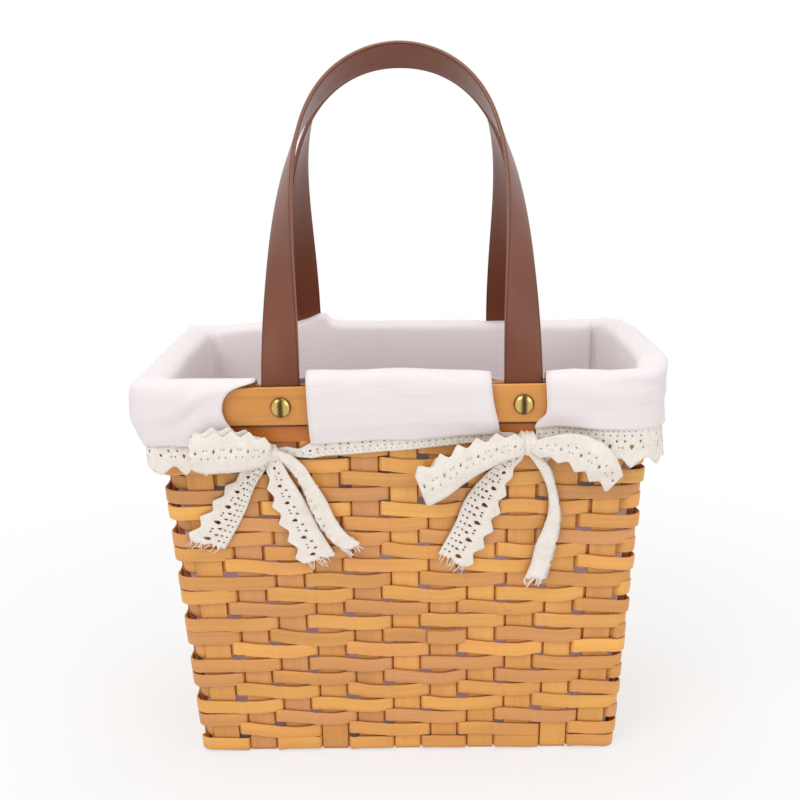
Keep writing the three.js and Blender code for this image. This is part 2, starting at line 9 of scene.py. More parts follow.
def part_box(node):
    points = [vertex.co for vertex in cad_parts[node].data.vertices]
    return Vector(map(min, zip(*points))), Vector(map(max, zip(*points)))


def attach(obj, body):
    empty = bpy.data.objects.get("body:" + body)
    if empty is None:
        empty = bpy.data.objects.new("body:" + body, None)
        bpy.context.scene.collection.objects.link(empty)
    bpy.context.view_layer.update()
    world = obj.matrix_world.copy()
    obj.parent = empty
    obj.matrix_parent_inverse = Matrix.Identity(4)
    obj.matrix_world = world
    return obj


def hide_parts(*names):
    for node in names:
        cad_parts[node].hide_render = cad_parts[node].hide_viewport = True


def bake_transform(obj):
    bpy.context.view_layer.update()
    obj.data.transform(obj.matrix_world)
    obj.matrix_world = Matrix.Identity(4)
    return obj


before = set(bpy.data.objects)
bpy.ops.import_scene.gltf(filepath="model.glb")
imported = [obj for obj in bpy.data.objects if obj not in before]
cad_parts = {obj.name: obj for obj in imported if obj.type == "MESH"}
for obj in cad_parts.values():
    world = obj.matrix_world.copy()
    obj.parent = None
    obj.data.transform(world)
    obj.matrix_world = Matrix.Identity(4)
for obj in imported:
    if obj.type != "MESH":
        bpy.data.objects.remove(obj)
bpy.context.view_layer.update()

# Shapes are worked out in millimetres and turned to metres when a mesh is made
MM = 0.001

# The wall's middle surface: straight sides round a core rectangle whose
# corners, and the stakes beside them, fan out with height
BASE_RADIUS = 4.8
FLARE = 13.2
CORNER_FAN = 8.5
FAN_CURVE = 2.5
HOOP_INNER = 3.2
HOOP_OUTER = 5.7
INNER_HOOP_FACE = -3.4
HOOP_TAB_GAP = 0.9
BAND_OUTER = 1.9
STRAP_MIDDLE = 1.9
CORNER_ARC = 19.0
hoop_low, hoop_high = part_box("outer_rim_hoop")
rim_z = hoop_high.z / MM
hoop_bottom = hoop_low.z / MM
core_x = hoop_high.x / MM - BASE_RADIUS - FLARE - HOOP_OUTER
core_y = hoop_high.y / MM - BASE_RADIUS - FLARE - HOOP_OUTER
wall_tilt = math.atan2(FLARE, rim_z)
# The back's straps, rivets and bows are the front's, turned round the basket's middle
HALF_TURN = Matrix.Rotation(math.pi, 4, "Z")
SIDES = (("front", False), ("back", True))

side_lengths = [2 * core_x, CORNER_ARC, 2 * core_y, CORNER_ARC] * 2
knots = np.concatenate([[0.0], np.cumsum(side_lengths)])
around = knots[-1]
knot_x = core_x * np.array([-1, 1, 1, 1, 1, -1, -1, -1, -1])
knot_y = core_y * np.array([-1, -1, -1, 1, 1, 1, 1, -1, -1])
knot_angle = np.radians([-90, -90, 0, 0, 90, 90, 180, 180, 270])
FRONT, RIGHT, BACK, LEFT = knots[0], knots[2], knots[4], knots[6]


def fanned(along, corner, z):
    """Where a place along a side has moved to at a height."""
    share = np.abs(along) / corner
    return along + np.sign(along) * CORNER_FAN * share**FAN_CURVE * z / rim_z


def wall(q, z, offset):
    """Points on the wall: q is the place round it, anticlockwise from the front left."""
    q, z, offset = np.broadcast_arrays(np.mod(q, around), z, offset)
    angle = np.interp(q, knots, knot_angle)
    reach = BASE_RADIUS + (FLARE - CORNER_FAN) * z / rim_z + offset
    x = fanned(np.interp(q, knots, knot_x), core_x, z) + reach * np.cos(angle)
    y = fanned(np.interp(q, knots, knot_y), core_y, z) + reach * np.sin(angle)
    return np.stack([x, y, z], -1)


def on_front(x, z, offset):
    """Points in front of the front wall, by their true x."""
    x, z, offset = np.broadcast_arrays(x, z, offset)
    return np.stack([x, -(core_y + BASE_RADIUS + FLARE * z / rim_z + offset), z], -1)


def corner_share(q):
    """1 in the middle of a corner, 0 on the straight sides."""
    angle = np.interp(np.mod(q, around), knots, knot_angle)
    return np.sin(2 * angle) ** 2


def smooth(t):
    """Eases from 0 to 1."""
    t = np.clip(t, 0, 1)
    return t * t * (3 - 2 * t)


def drift(values, scale, seed):
    """Slow seeded noise along a line, about -1 to 1, with features of the given size."""
    found = [noise.noise((float(v) / scale, seed * 7.31, seed * 2.17)) for v in np.ravel(values)]
    return np.reshape(found, np.shape(values)) * 1.6


def spline(controls, shares):
    """A smooth curve through control points, at shares of its chord length."""
    p = np.asarray(controls, float)
    gaps = np.linalg.norm(np.diff(p, axis=0), axis=1)
    at = np.concatenate([[0], np.cumsum(gaps)]) / gaps.sum()
    slope = np.gradient(p, at, axis=0)
    k = np.clip(np.searchsorted(at, shares, side="right") - 1, 0, len(p) - 2)
    span = (at[k + 1] - at[k])[:, None]
    t = ((shares - at[k]) / (at[k + 1] - at[k]))[:, None]
    return (
        p[k] * (2 * t**3 - 3 * t**2 + 1)
        + slope[k] * span * (t**3 - 2 * t**2 + t)
        + p[k + 1] * (3 * t**2 - 2 * t**3)
        + slope[k + 1] * span * (t**3 - t**2)
    )


def chords(line):
    return np.linalg.norm(np.diff(line, axis=0), axis=1)


def distances(line):
    """How far along a line each of its points is."""
    return np.concatenate([[0], np.cumsum(chords(line))])


# Meshes


def link_object(name, data):
    made = bpy.data.objects.new(name, data)
    bpy.context.scene.collection.objects.link(made)
    return made


def make_piece(name, points, faces, material, grain):
    """A piece through points in millimetres. grain is three values for each of them."""
    mesh = bpy.data.meshes.new(name)
    mesh.from_pydata((np.asarray(points) * MM).tolist(), [], faces)
    mesh.validate()
    mesh.shade_smooth()
    attribute = mesh.attributes.new("grain", "FLOAT_VECTOR", "POINT")
    attribute.data.foreach_set("vector", np.asarray(grain, np.float32).ravel())
    piece = link_object(name, mesh)
    mesh.materials.append(material)
    return piece


def grid_faces(rows, columns, rows_closed=False, columns_closed=False):
    """Quads of a grid of points numbered row by row."""
    faces = []
    for i in range(rows if rows_closed else rows - 1):
        for j in range(columns if columns_closed else columns - 1):
            a, b = i * columns, (i + 1) % rows * columns
            k = (j + 1) % columns
            faces.append((a + j, a + k, b + k, b + j))
    return faces


def in_basket(piece, slot, *nodes):
    """Hands over a piece that stays with the basket's body."""
    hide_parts(*nodes)
    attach(piece, "basket")


def thicken(piece, thickness):
    """Gives a sheet its thickness, half to each side."""
    shell = piece.modifiers.new("thickness", "SOLIDIFY")
    shell.thickness = thickness * MM
    shell.offset = 0.0


SLAT_CORNERS = 3


def slat_profile(width, thickness, edge, crown=0.0):
    """A flat slat's section: (across, out) points, with rounded edges and a crowned face."""
    points = []
    for side in (1, -1):
        for across in np.linspace(-side, side, 5) * (width / 2 - edge):
            rise = crown * (1 - (2 * across / width) ** 2)
            points.append((across, side * thickness / 2 + rise))
        for k in range(1, SLAT_CORNERS):
            angle = math.pi / 2 - math.pi * k / SLAT_CORNERS
            points.append((side * (width / 2 - edge + edge * math.cos(angle)),
                           side * thickness / 2 * math.sin(angle)))
    return np.array(points)


def slat_piece(name, place, along, profile, material, seed, closed=False):
    """A slat through stations: place(across, out) gives its points for every station."""
    across, out = profile[:, 0], profile[:, 1]
    points = place(across[None, :], out[None, :])
    rows, columns = points.shape[:2]
    faces = grid_faces(rows, columns, rows_closed=closed, columns_closed=True)
    if not closed:
        faces.append(tuple(reversed(range(columns))))
        faces.append(tuple((rows - 1) * columns + k for k in range(columns)))
    grain = np.stack(np.broadcast_arrays(along[:, None] * MM, across[None, :] * MM, seed), -1)
    piece = make_piece(name, points.reshape(-1, 3), faces, material, grain.reshape(-1, 3))
    piece.modifiers.new("even_normals", "WEIGHTED_NORMAL").keep_sharp = True
    return piece


# Materials


def rgba(colour):
    """A grey level from 0 to 1, or an sRGB colour from 0 to 255, as linear light."""
    if isinstance(colour, (int, float)):
        return (colour, colour, colour, 1.0)
    shares = [c / 255 for c in colour]
    return (*[c / 12.92 if c <= 0.04045 else ((c + 0.055) / 1.055) ** 2.4 for c in shares], 1.0)


def fill(node, inputs):
    """Links a node's inputs to sockets, or sets them to values."""
    for key, value in inputs.items():
        if isinstance(value, bpy.types.NodeSocket):
            node.id_data.links.new(value, node.inputs[key])
        else:
            node.inputs[key].default_value = value


class Nodes:
    """Builds the node tree of a new material, or of the world, with short calls."""

    def __init__(self, owner):
        if isinstance(owner, str):
            owner = bpy.data.materials.new(owner)
        owner.use_nodes = True
        self.owner = owner
        self.tree = owner.node_tree
        self.shader = self.tree.nodes.get("Principled BSDF")

    def add(self, kind, output, inputs=None, **settings):
        """Adds a node and gives one of its outputs."""
        node = self.tree.nodes.new("ShaderNode" + kind)
        for key, value in settings.items():
            setattr(node, key, value)
        fill(node, inputs or {})
        return node.outputs[output]

    def place(self):
        return self.add("TexCoord", "Object")

    def grain(self):
        """The three values that make_piece stores with each point."""
        return self.add("Attribute", "Vector", attribute_name="grain", attribute_type="GEOMETRY")

    def split(self, vector):
        return self.add("SeparateXYZ", "X", {"Vector": vector}).node.outputs

    def join(self, x, y, z):
        return self.add("CombineXYZ", "Vector", {"X": x, "Y": y, "Z": z})

    def stretched(self, vector, scale, shift=(0, 0, 0)):
        return self.add("Mapping", "Vector", {"Vector": vector, "Scale": scale, "Location": shift})

    def noise(self, vector, scale, detail=3.0, shift=(0, 0, 0)):
        return self.add("TexNoise", "Fac", {"Vector": self.stretched(vector, scale, shift),
                                            "Scale": 1.0, "Detail": detail, "Roughness": 0.55})

    def cells(self, vector, scale):
        return self.add("TexVoronoi", "Distance", {"Vector": vector, "Scale": scale})

    def between(self, value, low, high, to_low=0.0, to_high=1.0, **settings):
        """Maps a value from one range to another."""
        return self.add("MapRange", "Result", {"Value": value, "From Min": low, "From Max": high,
                                               "To Min": to_low, "To Max": to_high}, **settings)

    def ramp(self, value, *stops):
        colour = self.add("ValToRGB", "Color", {"Fac": value})
        elements = colour.node.color_ramp.elements
        while len(elements) < len(stops):
            elements.new(0.5)
        for element, (position, stop) in zip(elements, stops):
            element.position = position
            element.color = rgba(stop)
        return colour

    def mix(self, factor, a, b, blend="MIX"):
        b = rgba(b) if isinstance(b, tuple) else b
        return self.add("Mix", 2, {0: factor, 6: a, 7: b}, data_type="RGBA", blend_type=blend)

    def math(self, operation, a, b=0.0, c=0.0):
        return self.add("Math", 0, {0: a, 1: b, 2: c}, operation=operation)

    def times(self, a, b):
        return self.math("MULTIPLY", a, b)

    def scaled(self, a, b, c):
        """a times b, plus c."""
        return self.math("MULTIPLY_ADD", a, b, c)

    def blend(self, factor, a, b):
        """A surface between two others."""
        return self.add("MixShader", "Shader", {0: factor, 1: a, 2: b})

    def seen(self):
        """1 for rays that show a thing, straight or mirrored, and 0 for those that light others."""
        paths = self.add("LightPath", "Is Camera Ray").node.outputs
        mirrored = self.math("ADD", paths["Is Glossy Ray"], paths["Is Transmission Ray"])
        return self.math("ADD", paths["Is Camera Ray"], mirrored)

    def surface(self, colour, height, distance, strength, inputs):
        """Finishes the material with its colour, its bumps and its shader's other inputs."""
        bumps = self.add("Bump", "Normal", {"Height": height, "Distance": distance * MM,
                                            "Strength": strength})
        fill(self.shader, {"Base Color": colour, "Normal": bumps, **inputs})
        return self.owner

    def show(self, shader):
        fill(self.tree.nodes["Material Output"], {"Surface": shader})


# How far apart in the grain's third coordinate the pieces lie, so that no two look alike
PIECES_APART = 17.0


def wood(name, hues, roughness, coat, grain_of, knots=True, dark_line=None, painted_shade=0.0):
    """Sawn wood, whose hue drifts along a splint and differs between splints. grain_of gives
    (along, across, splint) in metres, and the splint's tone from 0 to 1. A painted shadow, where its
    range across is given, darkens it past a place across. The last argument is how much painted
    shade browns it in its hollows."""
    n = Nodes(name)
    vector, tone = grain_of(n)
    streaks = n.noise(vector, (14, 900, 1), 4)
    bands = n.noise(vector, (9, 170, 1), 2, (3, 1, 0))
    fibres = n.noise(vector, (70, 4200, 1), 2)
    slow = n.noise(vector, (11, 25, 1), 1, (7, 2, 0))
    own = n.add("TexWhiteNoise", "Value", {"W": n.times(tone, 91.7)}, noise_dimensions="1D")
    pick = n.scaled(slow, 1.1, n.scaled(own, 0.5, -0.3))
    hue = n.ramp(pick, (0.25, hues[0]), (0.5, hues[1]), (0.75, hues[2]))
    stripes = n.scaled(streaks, 0.4, n.times(bands, 0.6))
    shade = n.scaled(stripes, 0.55, n.scaled(tone, 0.28, 0.59))
    colour = n.mix(1.0, hue, n.join(shade, shade, shade), "MULTIPLY")
    if knots:
        cells = n.cells(n.stretched(vector, (26, 105, 1)), 1.0)
        spot = n.ramp(cells, (0.0, 1), (0.07, 0))
        rare = n.ramp(cells.node.outputs["Color"], (0.76, 0), (0.78, 1))
        colour = n.mix(n.times(n.times(spot, rare), 0.6), colour, (112, 62, 28))
    # Painted shadow: darkens the splint past a place across, as under an overhanging part
    if dark_line:
        depth = n.between(n.split(n.grain())["Y"], dark_line[0] * MM, dark_line[1] * MM)
        colour = n.mix(depth, colour, (64, 34, 20))
    # Painted shade: browner where the ambient occlusion finds hollows between the splints
    if painted_shade:
        opening = n.add("AmbientOcclusion", "AO", {"Distance": 4 * MM}, samples=4)
        colour = n.mix(n.ramp(opening, (0.3, painted_shade), (0.85, 0)), colour, (164, 86, 36))
    return n.surface(colour, n.scaled(fibres, 0.6, streaks), 0.06, 0.6,
                     {"Roughness": roughness, "Coat Weight": coat, "Coat Roughness": 0.3})


def ribbon_grain(n):
    """Grain from the piece's own (along, across, splint) attribute."""
    along, across, splint = n.split(n.grain())
    return n.join(along, across, n.times(splint, PIECES_APART)), splint


def upright_grain(along_y):
    """Grain for a CAD splint that crosses the base and turns up both walls."""
    def grain_of(n):
        x, y, z = n.split(n.place())
        run, across = (y, x) if along_y else (x, y)
        tone = n.add("Attribute", "Fac", attribute_name="tone", attribute_type="OBJECT")
        return n.join(n.math("ADD", run, z), across, n.times(tone, PIECES_APART)), tone
    return grain_of


SPLINT_HUES = ((220, 155, 97), (227, 159, 84), (240, 177, 90))
BAND_HUES = ((206, 118, 34), (209, 122, 38), (213, 128, 44))
HOOP_HUES = ((214, 140, 58), (218, 146, 62), (224, 154, 70))
# Where across the band the painted shadow of the hoop above it fades in
BAND_PAINTED_SHADOW = (3.1, 3.7)
# How much painted shade browns the splints in their hollows
HOLLOW_PAINTED_SHADE = 0.62
splint_wood, cross_wood, long_wood = (
    wood(f"{name}_wood", SPLINT_HUES, 0.5, 0.1, grain_of, painted_shade=HOLLOW_PAINTED_SHADE)
    for name, grain_of in (("splint", ribbon_grain), ("cross_splint", upright_grain(True)),
                           ("long_splint", upright_grain(False))))
rim_wood = wood("rim_wood", HOOP_HUES, 0.36, 0.35, ribbon_grain, knots=False)
# The band gets a painted shadow line under the hoop
band_wood = wood("band_wood", BAND_HUES, 0.45, 0.2, ribbon_grain, False, BAND_PAINTED_SHADOW)


# The height over which painted light makes the straps paler
PALER_RISE = 150.0


def leather():
    """Smooth brown leather, with painted light making it paler towards its top, and a pressed line
    beside its cut sides.
    """
    n = Nodes("strap_leather")
    place = n.place()
    face = n.ramp(n.noise(place, (40, 40, 25)), (0.3, (107, 54, 29)), (0.7, (121, 65, 39)))
    # Painted light: paler higher up, as if lit from above
    painted_top_light = n.between(n.split(place)["Z"], rim_z * MM, (rim_z + PALER_RISE) * MM, 0.0, 0.55)
    face = n.mix(painted_top_light, face, (150, 108, 94))
    from_middle = n.math("ABSOLUTE", n.split(n.grain())["Y"])
    outwards = n.math("DIVIDE", from_middle, STRAP_WIDTH / 2 * MM)
    dark_line = n.ramp(outwards, (0.89, 0), (0.925, 1), (0.95, 1), (0.97, 0))
    cut_side = n.ramp(outwards, (0.96, 0), (0.98, 1))
    face = n.mix(cut_side, n.mix(dark_line, face, (84, 44, 32)), (138, 90, 72))
    return n.surface(face, n.cells(place, 1900.0), 0.05, 0.35,
                     {"Roughness": 0.36, "Specular IOR Level": 0.36})


# The heights between which the liner lets light through, each a fade's start and end
THIN_FROM = (0.006, 0.02)
THIN_TO = (0.12, 0.15)


def cloth():
    """Fine plain weave, seen from a step away as soft slubs, most of them level. Low in the
    basket it lets light through, so that it shows pale in the gaps of the weave."""
    n = Nodes("liner_cloth")
    grain = n.grain()
    slubs = n.noise(grain, (60, 1300, 1), 4)
    slubs_up = n.times(n.noise(grain, (1100, 90, 1), shift=(5, 0, 0)), 0.15)
    mottle = n.scaled(slubs, 0.85, slubs_up)
    n.surface(n.ramp(mottle, (0.35, (240, 231, 231)), (0.65, (245, 237, 238))),
              n.scaled(slubs, 0.9, slubs_up), 0.1, 0.13, {"Roughness": 0.95, "Sheen Weight": 0.12})
    upright = n.split(n.place())["Z"]
    thinness = n.between(upright, *THIN_FROM, 0.0, n.between(upright, *THIN_TO, 0.75, 0.0))
    through = n.add("BsdfTranslucent", "BSDF", {"Color": rgba((252, 234, 236))})
    n.show(n.blend(thinness, n.shader.outputs["BSDF"], through))
    return n.owner


def lace_thread():
    """Crocheted cotton: rows of stitches along the ribbon, in thread of an uneven tone."""
    n = Nodes("lace_cotton")
    grain = n.grain()
    along, across, _ = n.split(grain)
    rows, stitches = (n.math("SINE", n.times(way, 2 * math.pi / (pitch * MM)))
                      for way, pitch in ((across, 1.3), (along, 0.9)))
    loops = n.scaled(n.times(rows, stitches), 0.25, 0.5)
    thread = n.noise(grain, (900, 900, 1))
    cloudy = n.noise(grain, (170, 170, 1), 2, (4, 4, 0))
    mottle = n.scaled(thread, 0.4, n.scaled(cloudy, 0.4, n.times(loops, 0.25)))
    return n.surface(n.ramp(mottle, (0.36, (236, 225, 211)), (0.62, (250, 244, 236))),
                     n.scaled(thread, 0.5, loops), 0.22, 0.7,
                     {"Roughness": 0.95, "Sheen Weight": 0.1})


def brass():
    """Polished brass, dull round the cap's foot, with a painted dark reflection down the middle of its
    dome.
    """
    n = Nodes("rivet_brass")
    wear = n.noise(n.place(), (500, 500, 500), 4)
    polished = n.ramp(wear, (0.3, (196, 168, 98)), (0.7, (220, 194, 124)))
    rise, aside, _ = n.split(n.grain())
    patina = n.ramp(rise, (0.15, 1), (0.5, 0))
    # Painted reflection: a dark streak down the middle of the dome
    painted_reflection = n.ramp(n.math("ABSOLUTE", aside), (0.12, 0.9), (0.4, 0))
    colour = n.mix(patina, n.mix(painted_reflection, polished, (52, 36, 16)), (104, 78, 38))
    return n.surface(colour, wear, 0.02, 0.2, {"Roughness": 0.2, "Metallic": 1.0})


STRAP_WIDTH = 18.5
STRAP_THICKNESS = 2.0
strap_leather, liner_cloth, lace_cotton, rivet_brass = leather(), cloth(), lace_thread(), brass()

# Stakes keep their CAD shape, with broken edges and their own tones

STAKE_EDGE = 0.25
STAKE_PITCH = 18.9
STAKE_WOODS = {"cross_splint": cross_wood, "long_splint": long_wood}
random = np.random.default_rng(20)
for node_name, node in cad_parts.items():
    kind = node_name.rsplit("_", 1)[0]
    if kind in STAKE_WOODS:
        node.data.materials.clear()
        node.data.materials.append(STAKE_WOODS[kind])
        node["tone"] = float(random.uniform(0.15, 0.75))
        edges = node.modifiers.new("edges", "BEVEL")
        edges.width = STAKE_EDGE * MM
        edges.segments = 2
        edges.limit_method = "ANGLE"
        edges.angle_limit = math.radians(40)

# Weavers

STAKE_HALF = 6.5
WEAVE_OFFSET = 1.4
WEAVER_THICKNESS = 1.0
RUN_BOW = 0.6
CORNER_BULGE = 0.5
CORNER_BULGE_GROWTH = 1.6
RIDE_OVER = 0.55
ROW_WANDER = 0.5
TWILL_REPEAT = 3
LAPPED_ROW = 8
LAPPED_TONE = 0.2
LAP_START_X = 10.7
LAP_LENGTH = 29.0
# How far the lap's outer end stands out, in weaver thicknesses, for what length, and the
# stretch in which it then comes in
LAP_STEP_OUT = 1.1
LAP_RUN = 16.0
LAP_EASE = 8.0
# A weaver's height where it comes out from behind a stake, on the two stakes that it passes,
# and where it goes in again
PASS_HEIGHTS = (1.5, 0.2, -0.9, 0.1)
PASS_SPREAD = 0.5
LOWEST_ROW_SHARE = 0.3
SMOOTHING = 3.5
# Share of the gap between two stakes in which it bends behind the next, and its drop there
DIVE_SHARE = 0.28
DIVE_DROP = 1.1
# How much the weavers differ in width and in tone
WIDTH_SPREAD = (-0.25, 0.2)
TONE_SPREAD = 0.36
# Where on a stake a weaver has points, and how many it has between two stakes, along a side
# and round a corner
BEND_STEPS = (-STAKE_HALF, -3.2, 0, 3.2, STAKE_HALF)
GAP_STEPS = (11, 17)
# The gap between a weaver's two ends, and the stretch beside an end where its wander fades
END_GAP = 0.4
END_EASE = 20.0
WEAVER_ROLL = 0.035


def evenly(count):
    return (np.arange(count) - (count - 1) / 2) * STAKE_PITCH


front_stakes, side_stakes, weaver_rows = (
    sum(name.startswith(kind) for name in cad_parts)
    for kind in ("cross_splint", "long_splint", "weaver_"))
stake_places = np.concatenate([
    FRONT + core_x + evenly(front_stakes), RIGHT + core_y + evenly(side_stakes),
    BACK + core_x + evenly(front_stakes), LEFT + core_y + evenly(side_stakes)])
stake_count = len(stake_places)
next_places = np.append(stake_places[1:], stake_places[0] + around)
front_middle = front_stakes // 2
ring = np.arange(0, around, 0.5)


def pass_sides(row):
    """Side of each stake that a row passes: 1 outside, -1 inside."""
    k = np.arange(stake_count)
    if row == 0:
        return np.where(k % 2 == 0, 1, -1)
    return np.where((k - front_middle - row) % TWILL_REPEAT == 0, -1, 1)


def weave(q, sides, row):
    """Side of the stakes at each place, from -1 to 1, and the outward bow between them."""
    q = np.mod(q, around)
    k = np.searchsorted(stake_places, q, side="right") - 1
    here, following = sides[k], sides[(k + 1) % stake_count]
    start = stake_places[k] + STAKE_HALF
    start = np.where(k < 0, start - around, start)
    end = np.where(k < 0, stake_places[0], next_places[k]) - STAKE_HALF
    t = np.clip((q - start) / (end - start), 0, 1)
    diving = here > following
    turn = np.where(diving, (t - 1 + DIVE_SHARE) / DIVE_SHARE, t / DIVE_SHARE)
    side = here + (following - here) * smooth(turn)
    corner = end - start > CORNER_ARC / 2
    free = (here > 0) & (following > 0)
    bulge = CORNER_BULGE + CORNER_BULGE_GROWTH * row / weaver_rows
    over = RIDE_OVER * np.where(diving, -0.3, 1.0) * (here != following) * np.sin(math.pi * t)
    return side, np.where(corner, bulge, RUN_BOW) * free * np.sin(math.pi * t) + over


def pass_lift(q, sides, row):
    """Height of a weaver above its row: each pass starts high and sinks along its stakes."""
    places, heights = [], []
    for k in range(stake_count):
        if sides[k] < 0:
            places += [stake_places[k] - STAKE_HALF - 1, stake_places[k] + STAKE_HALF + 1]
            heights += [PASS_HEIGHTS[3], PASS_HEIGHTS[0]]
        elif row:
            places.append(stake_places[k])
            heights.append(PASS_HEIGHTS[1] if sides[k - 1] < 0 else PASS_HEIGHTS[2])
    heights = np.array(heights) + PASS_SPREAD * random.normal(size=len(heights))
    fine = np.interp(ring, places, heights, period=around)
    away = np.minimum(ring, around - ring)
    kernel = np.exp(-((away / SMOOTHING) ** 2))
    soft = np.fft.irfft(np.fft.rfft(fine) * np.fft.rfft(kernel / kernel.sum()), len(fine))
    return np.interp(q, ring, soft, period=around) * (1.0 if row else LOWEST_ROW_SHARE)


def weaver_places(start, length):
    """Places round the wall, closer together where the weaver bends."""
    edges = [p + step for p in stake_places for step in BEND_STEPS]
    gaps = []
    for a, b in zip(stake_places, next_places):
        steps = GAP_STEPS[b - a > CORNER_ARC + STAKE_HALF]
        gaps.extend(np.linspace(a + STAKE_HALF, b - STAKE_HALF, steps)[1:-1])
    places = np.mod(np.array(edges + gaps) - start, around)
    places = np.unique(np.round(np.concatenate([places, places + around]), 3))
    places = places[(places > 0.5) & (places < length - 0.5)]
    return start + np.concatenate([[0], places, [length]])


def weaver(row):
    node_name = f"weaver_{row + 1:02d}"
    low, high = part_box(node_name)
    sides = pass_sides(row)
    width = (high.z - low.z) / MM + random.uniform(*WIDTH_SPREAD)
    middle = (low.z + high.z) / 2 / MM
    # Lower rows get a higher tone, paler and yellower: partly a hue that changes by row, partly painted
    # shade on the upper rows under the lace and rim
    paler_below = 0.25 - 0.5 * row / weaver_rows
    own = random.uniform(-TONE_SPREAD, TONE_SPREAD)
    seed = float(np.clip(0.5 + paler_below + own, 0.05, 0.95))
    hidden = next(k for k in range(stake_count // 2 + row % 5, stake_count) if sides[k] < 0)
    start, length = stake_places[hidden], around - END_GAP
    lapped = row == LAPPED_ROW
    if lapped:
        start, length = FRONT + core_x + LAP_START_X, around + LAP_LENGTH
        seed = LAPPED_TONE
    q = weaver_places(start, length)
    side, bow = weave(q, sides, row)
    wander = ROW_WANDER * drift(q * 2 * math.pi / around, 0.35, row)
    wander -= (wander[0] * (1 - smooth((q - start) / END_EASE))
               + wander[-1] * smooth((q - q[-1] + END_EASE) / END_EASE))
    lift = pass_lift(q, sides, row) - DIVE_DROP * (1 - side) / 2 * (row > 0)
    roll = WEAVER_ROLL * drift(q, 30, row + 50)
    offset = side * WEAVE_OFFSET + bow
    if lapped:
        eased = 1 - smooth((q - start - LAP_RUN) / LAP_EASE)
        offset = offset + WEAVER_THICKNESS * LAP_STEP_OUT * eased

    def place(across, out):
        z = (middle + lift + wander)[:, None] + across
        return wall(q[:, None], z, offset[:, None] + out + roll[:, None] * across)

    profile = slat_profile(width, WEAVER_THICKNESS, edge=0.3, crown=0.12)
    piece = slat_piece(f"{node_name}_splint", place, q - start, profile, splint_wood, seed)
    in_basket(piece, "splint_wood", node_name)


for row in range(weaver_rows):
    weaver(row)

# Rim band and hoops


def rim_slat(name, node_name, inner, outer, material, slot, seed, edge, crown=0.0):
    low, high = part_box(node_name)
    spans = enumerate(zip(knots, knots[1:]))
    q = np.concatenate([np.linspace(a, b, 17 if k % 2 else 30) for k, (a, b) in spans])
    q = np.unique(q)[:-1]
    middle_z = (low.z + high.z) / 2 / MM
    sway = 0.15 * drift(q * 2 * math.pi / around, 0.6, int(seed * 50))
    ease = smooth(q / END_EASE) * smooth((around - q) / END_EASE)

    def place(across, out):
        z = middle_z + across + (sway * ease)[:, None]
        return wall(q[:, None], z, (inner + outer) / 2 + out)

    profile = slat_profile((high.z - low.z) / MM, outer - inner, edge, crown)
    piece = slat_piece(name, place, q, profile, material, seed, closed=True)
    in_basket(piece, slot, node_name)


rim_slat("rim_band_splint", "rim_band", BAND_OUTER - WEAVER_THICKNESS, BAND_OUTER,
         band_wood, "splint_wood", seed=0.32, edge=0.3, crown=0.1)
rim_slat("outer_hoop", "outer_rim_hoop", HOOP_INNER, HOOP_OUTER,
         rim_wood, "rim_wood", seed=0.55, edge=0.8)
rim_slat("inner_hoop", "inner_rim_hoop", INNER_HOOP_FACE, -HOOP_TAB_GAP,
         rim_wood, "rim_wood", seed=0.75, edge=0.8)

# Strap handles: one strap each, riveted behind the hoop at both ends

STRAP_X = 58.0
TAB_LENGTH = 18.0
ARCH_HALF_SPREAD = 58.0
ARCH_RISE = 153.0
ARCH_SQUARENESS = 4.9
ARCH_LEAN_CURVE = 1.25
ARCH_TOP_TILT = math.radians(41)
ARCH_TWIST_EASE = 1.35
ARCHES_APART = 0.7
HINGE_LIFT = 1.3
ARCH_STEPS = 181
TAB_STEPS = 9
hinge_y = -(core_y + BASE_RADIUS + FLARE + STRAP_MIDDLE)
hinge_z = rim_z + HINGE_LIFT
top_depth = STRAP_WIDTH * math.cos(ARCH_TOP_TILT) + STRAP_THICKNESS * math.sin(ARCH_TOP_TILT)
arch_reach = -hinge_y - ARCHES_APART / 2 - top_depth / 2
arch_lean = math.atan2(arch_reach, ARCH_RISE)
arch_twist = math.pi / 2 + ARCH_TOP_TILT - arch_lean


def arch_line(t):
    """The arch's middle line, from its left foot at 0 to its right foot at 1."""
    rise = np.sin(t * math.pi) ** (2 / ARCH_SQUARENESS)
    spread = STRAP_X + (ARCH_HALF_SPREAD - STRAP_X) * np.minimum(1, 2 * rise)
    return np.stack([-spread * np.cos(t * math.pi), hinge_y + arch_reach * rise**ARCH_LEAN_CURVE,
                     hinge_z + ARCH_RISE * rise], -1)


def tab_line(side):
    """The hidden end of the strap, from its tip up to the bend."""
    z = np.linspace(rim_z - TAB_LENGTH, rim_z, TAB_STEPS)
    y = -(core_y + BASE_RADIUS + FLARE * z / rim_z + STRAP_MIDDLE)
    return np.stack([np.full(TAB_STEPS, side * STRAP_X), y, z], -1)


def even_arch():
    """The arch's line at even steps along its length, from one with more steps at its ends."""
    ends = np.linspace(0, 1, 2500) ** 2.5 / 2
    fine = np.concatenate([ends, 1 - ends[::-1][1:]])
    line = arch_line(fine)
    length = distances(line)
    at = np.linspace(0, length[-1], ARCH_STEPS)
    return np.stack([np.interp(at, length, line[:, k]) for k in range(3)], -1)


def unit(v):
    return v / np.linalg.norm(v, axis=-1, keepdims=True)


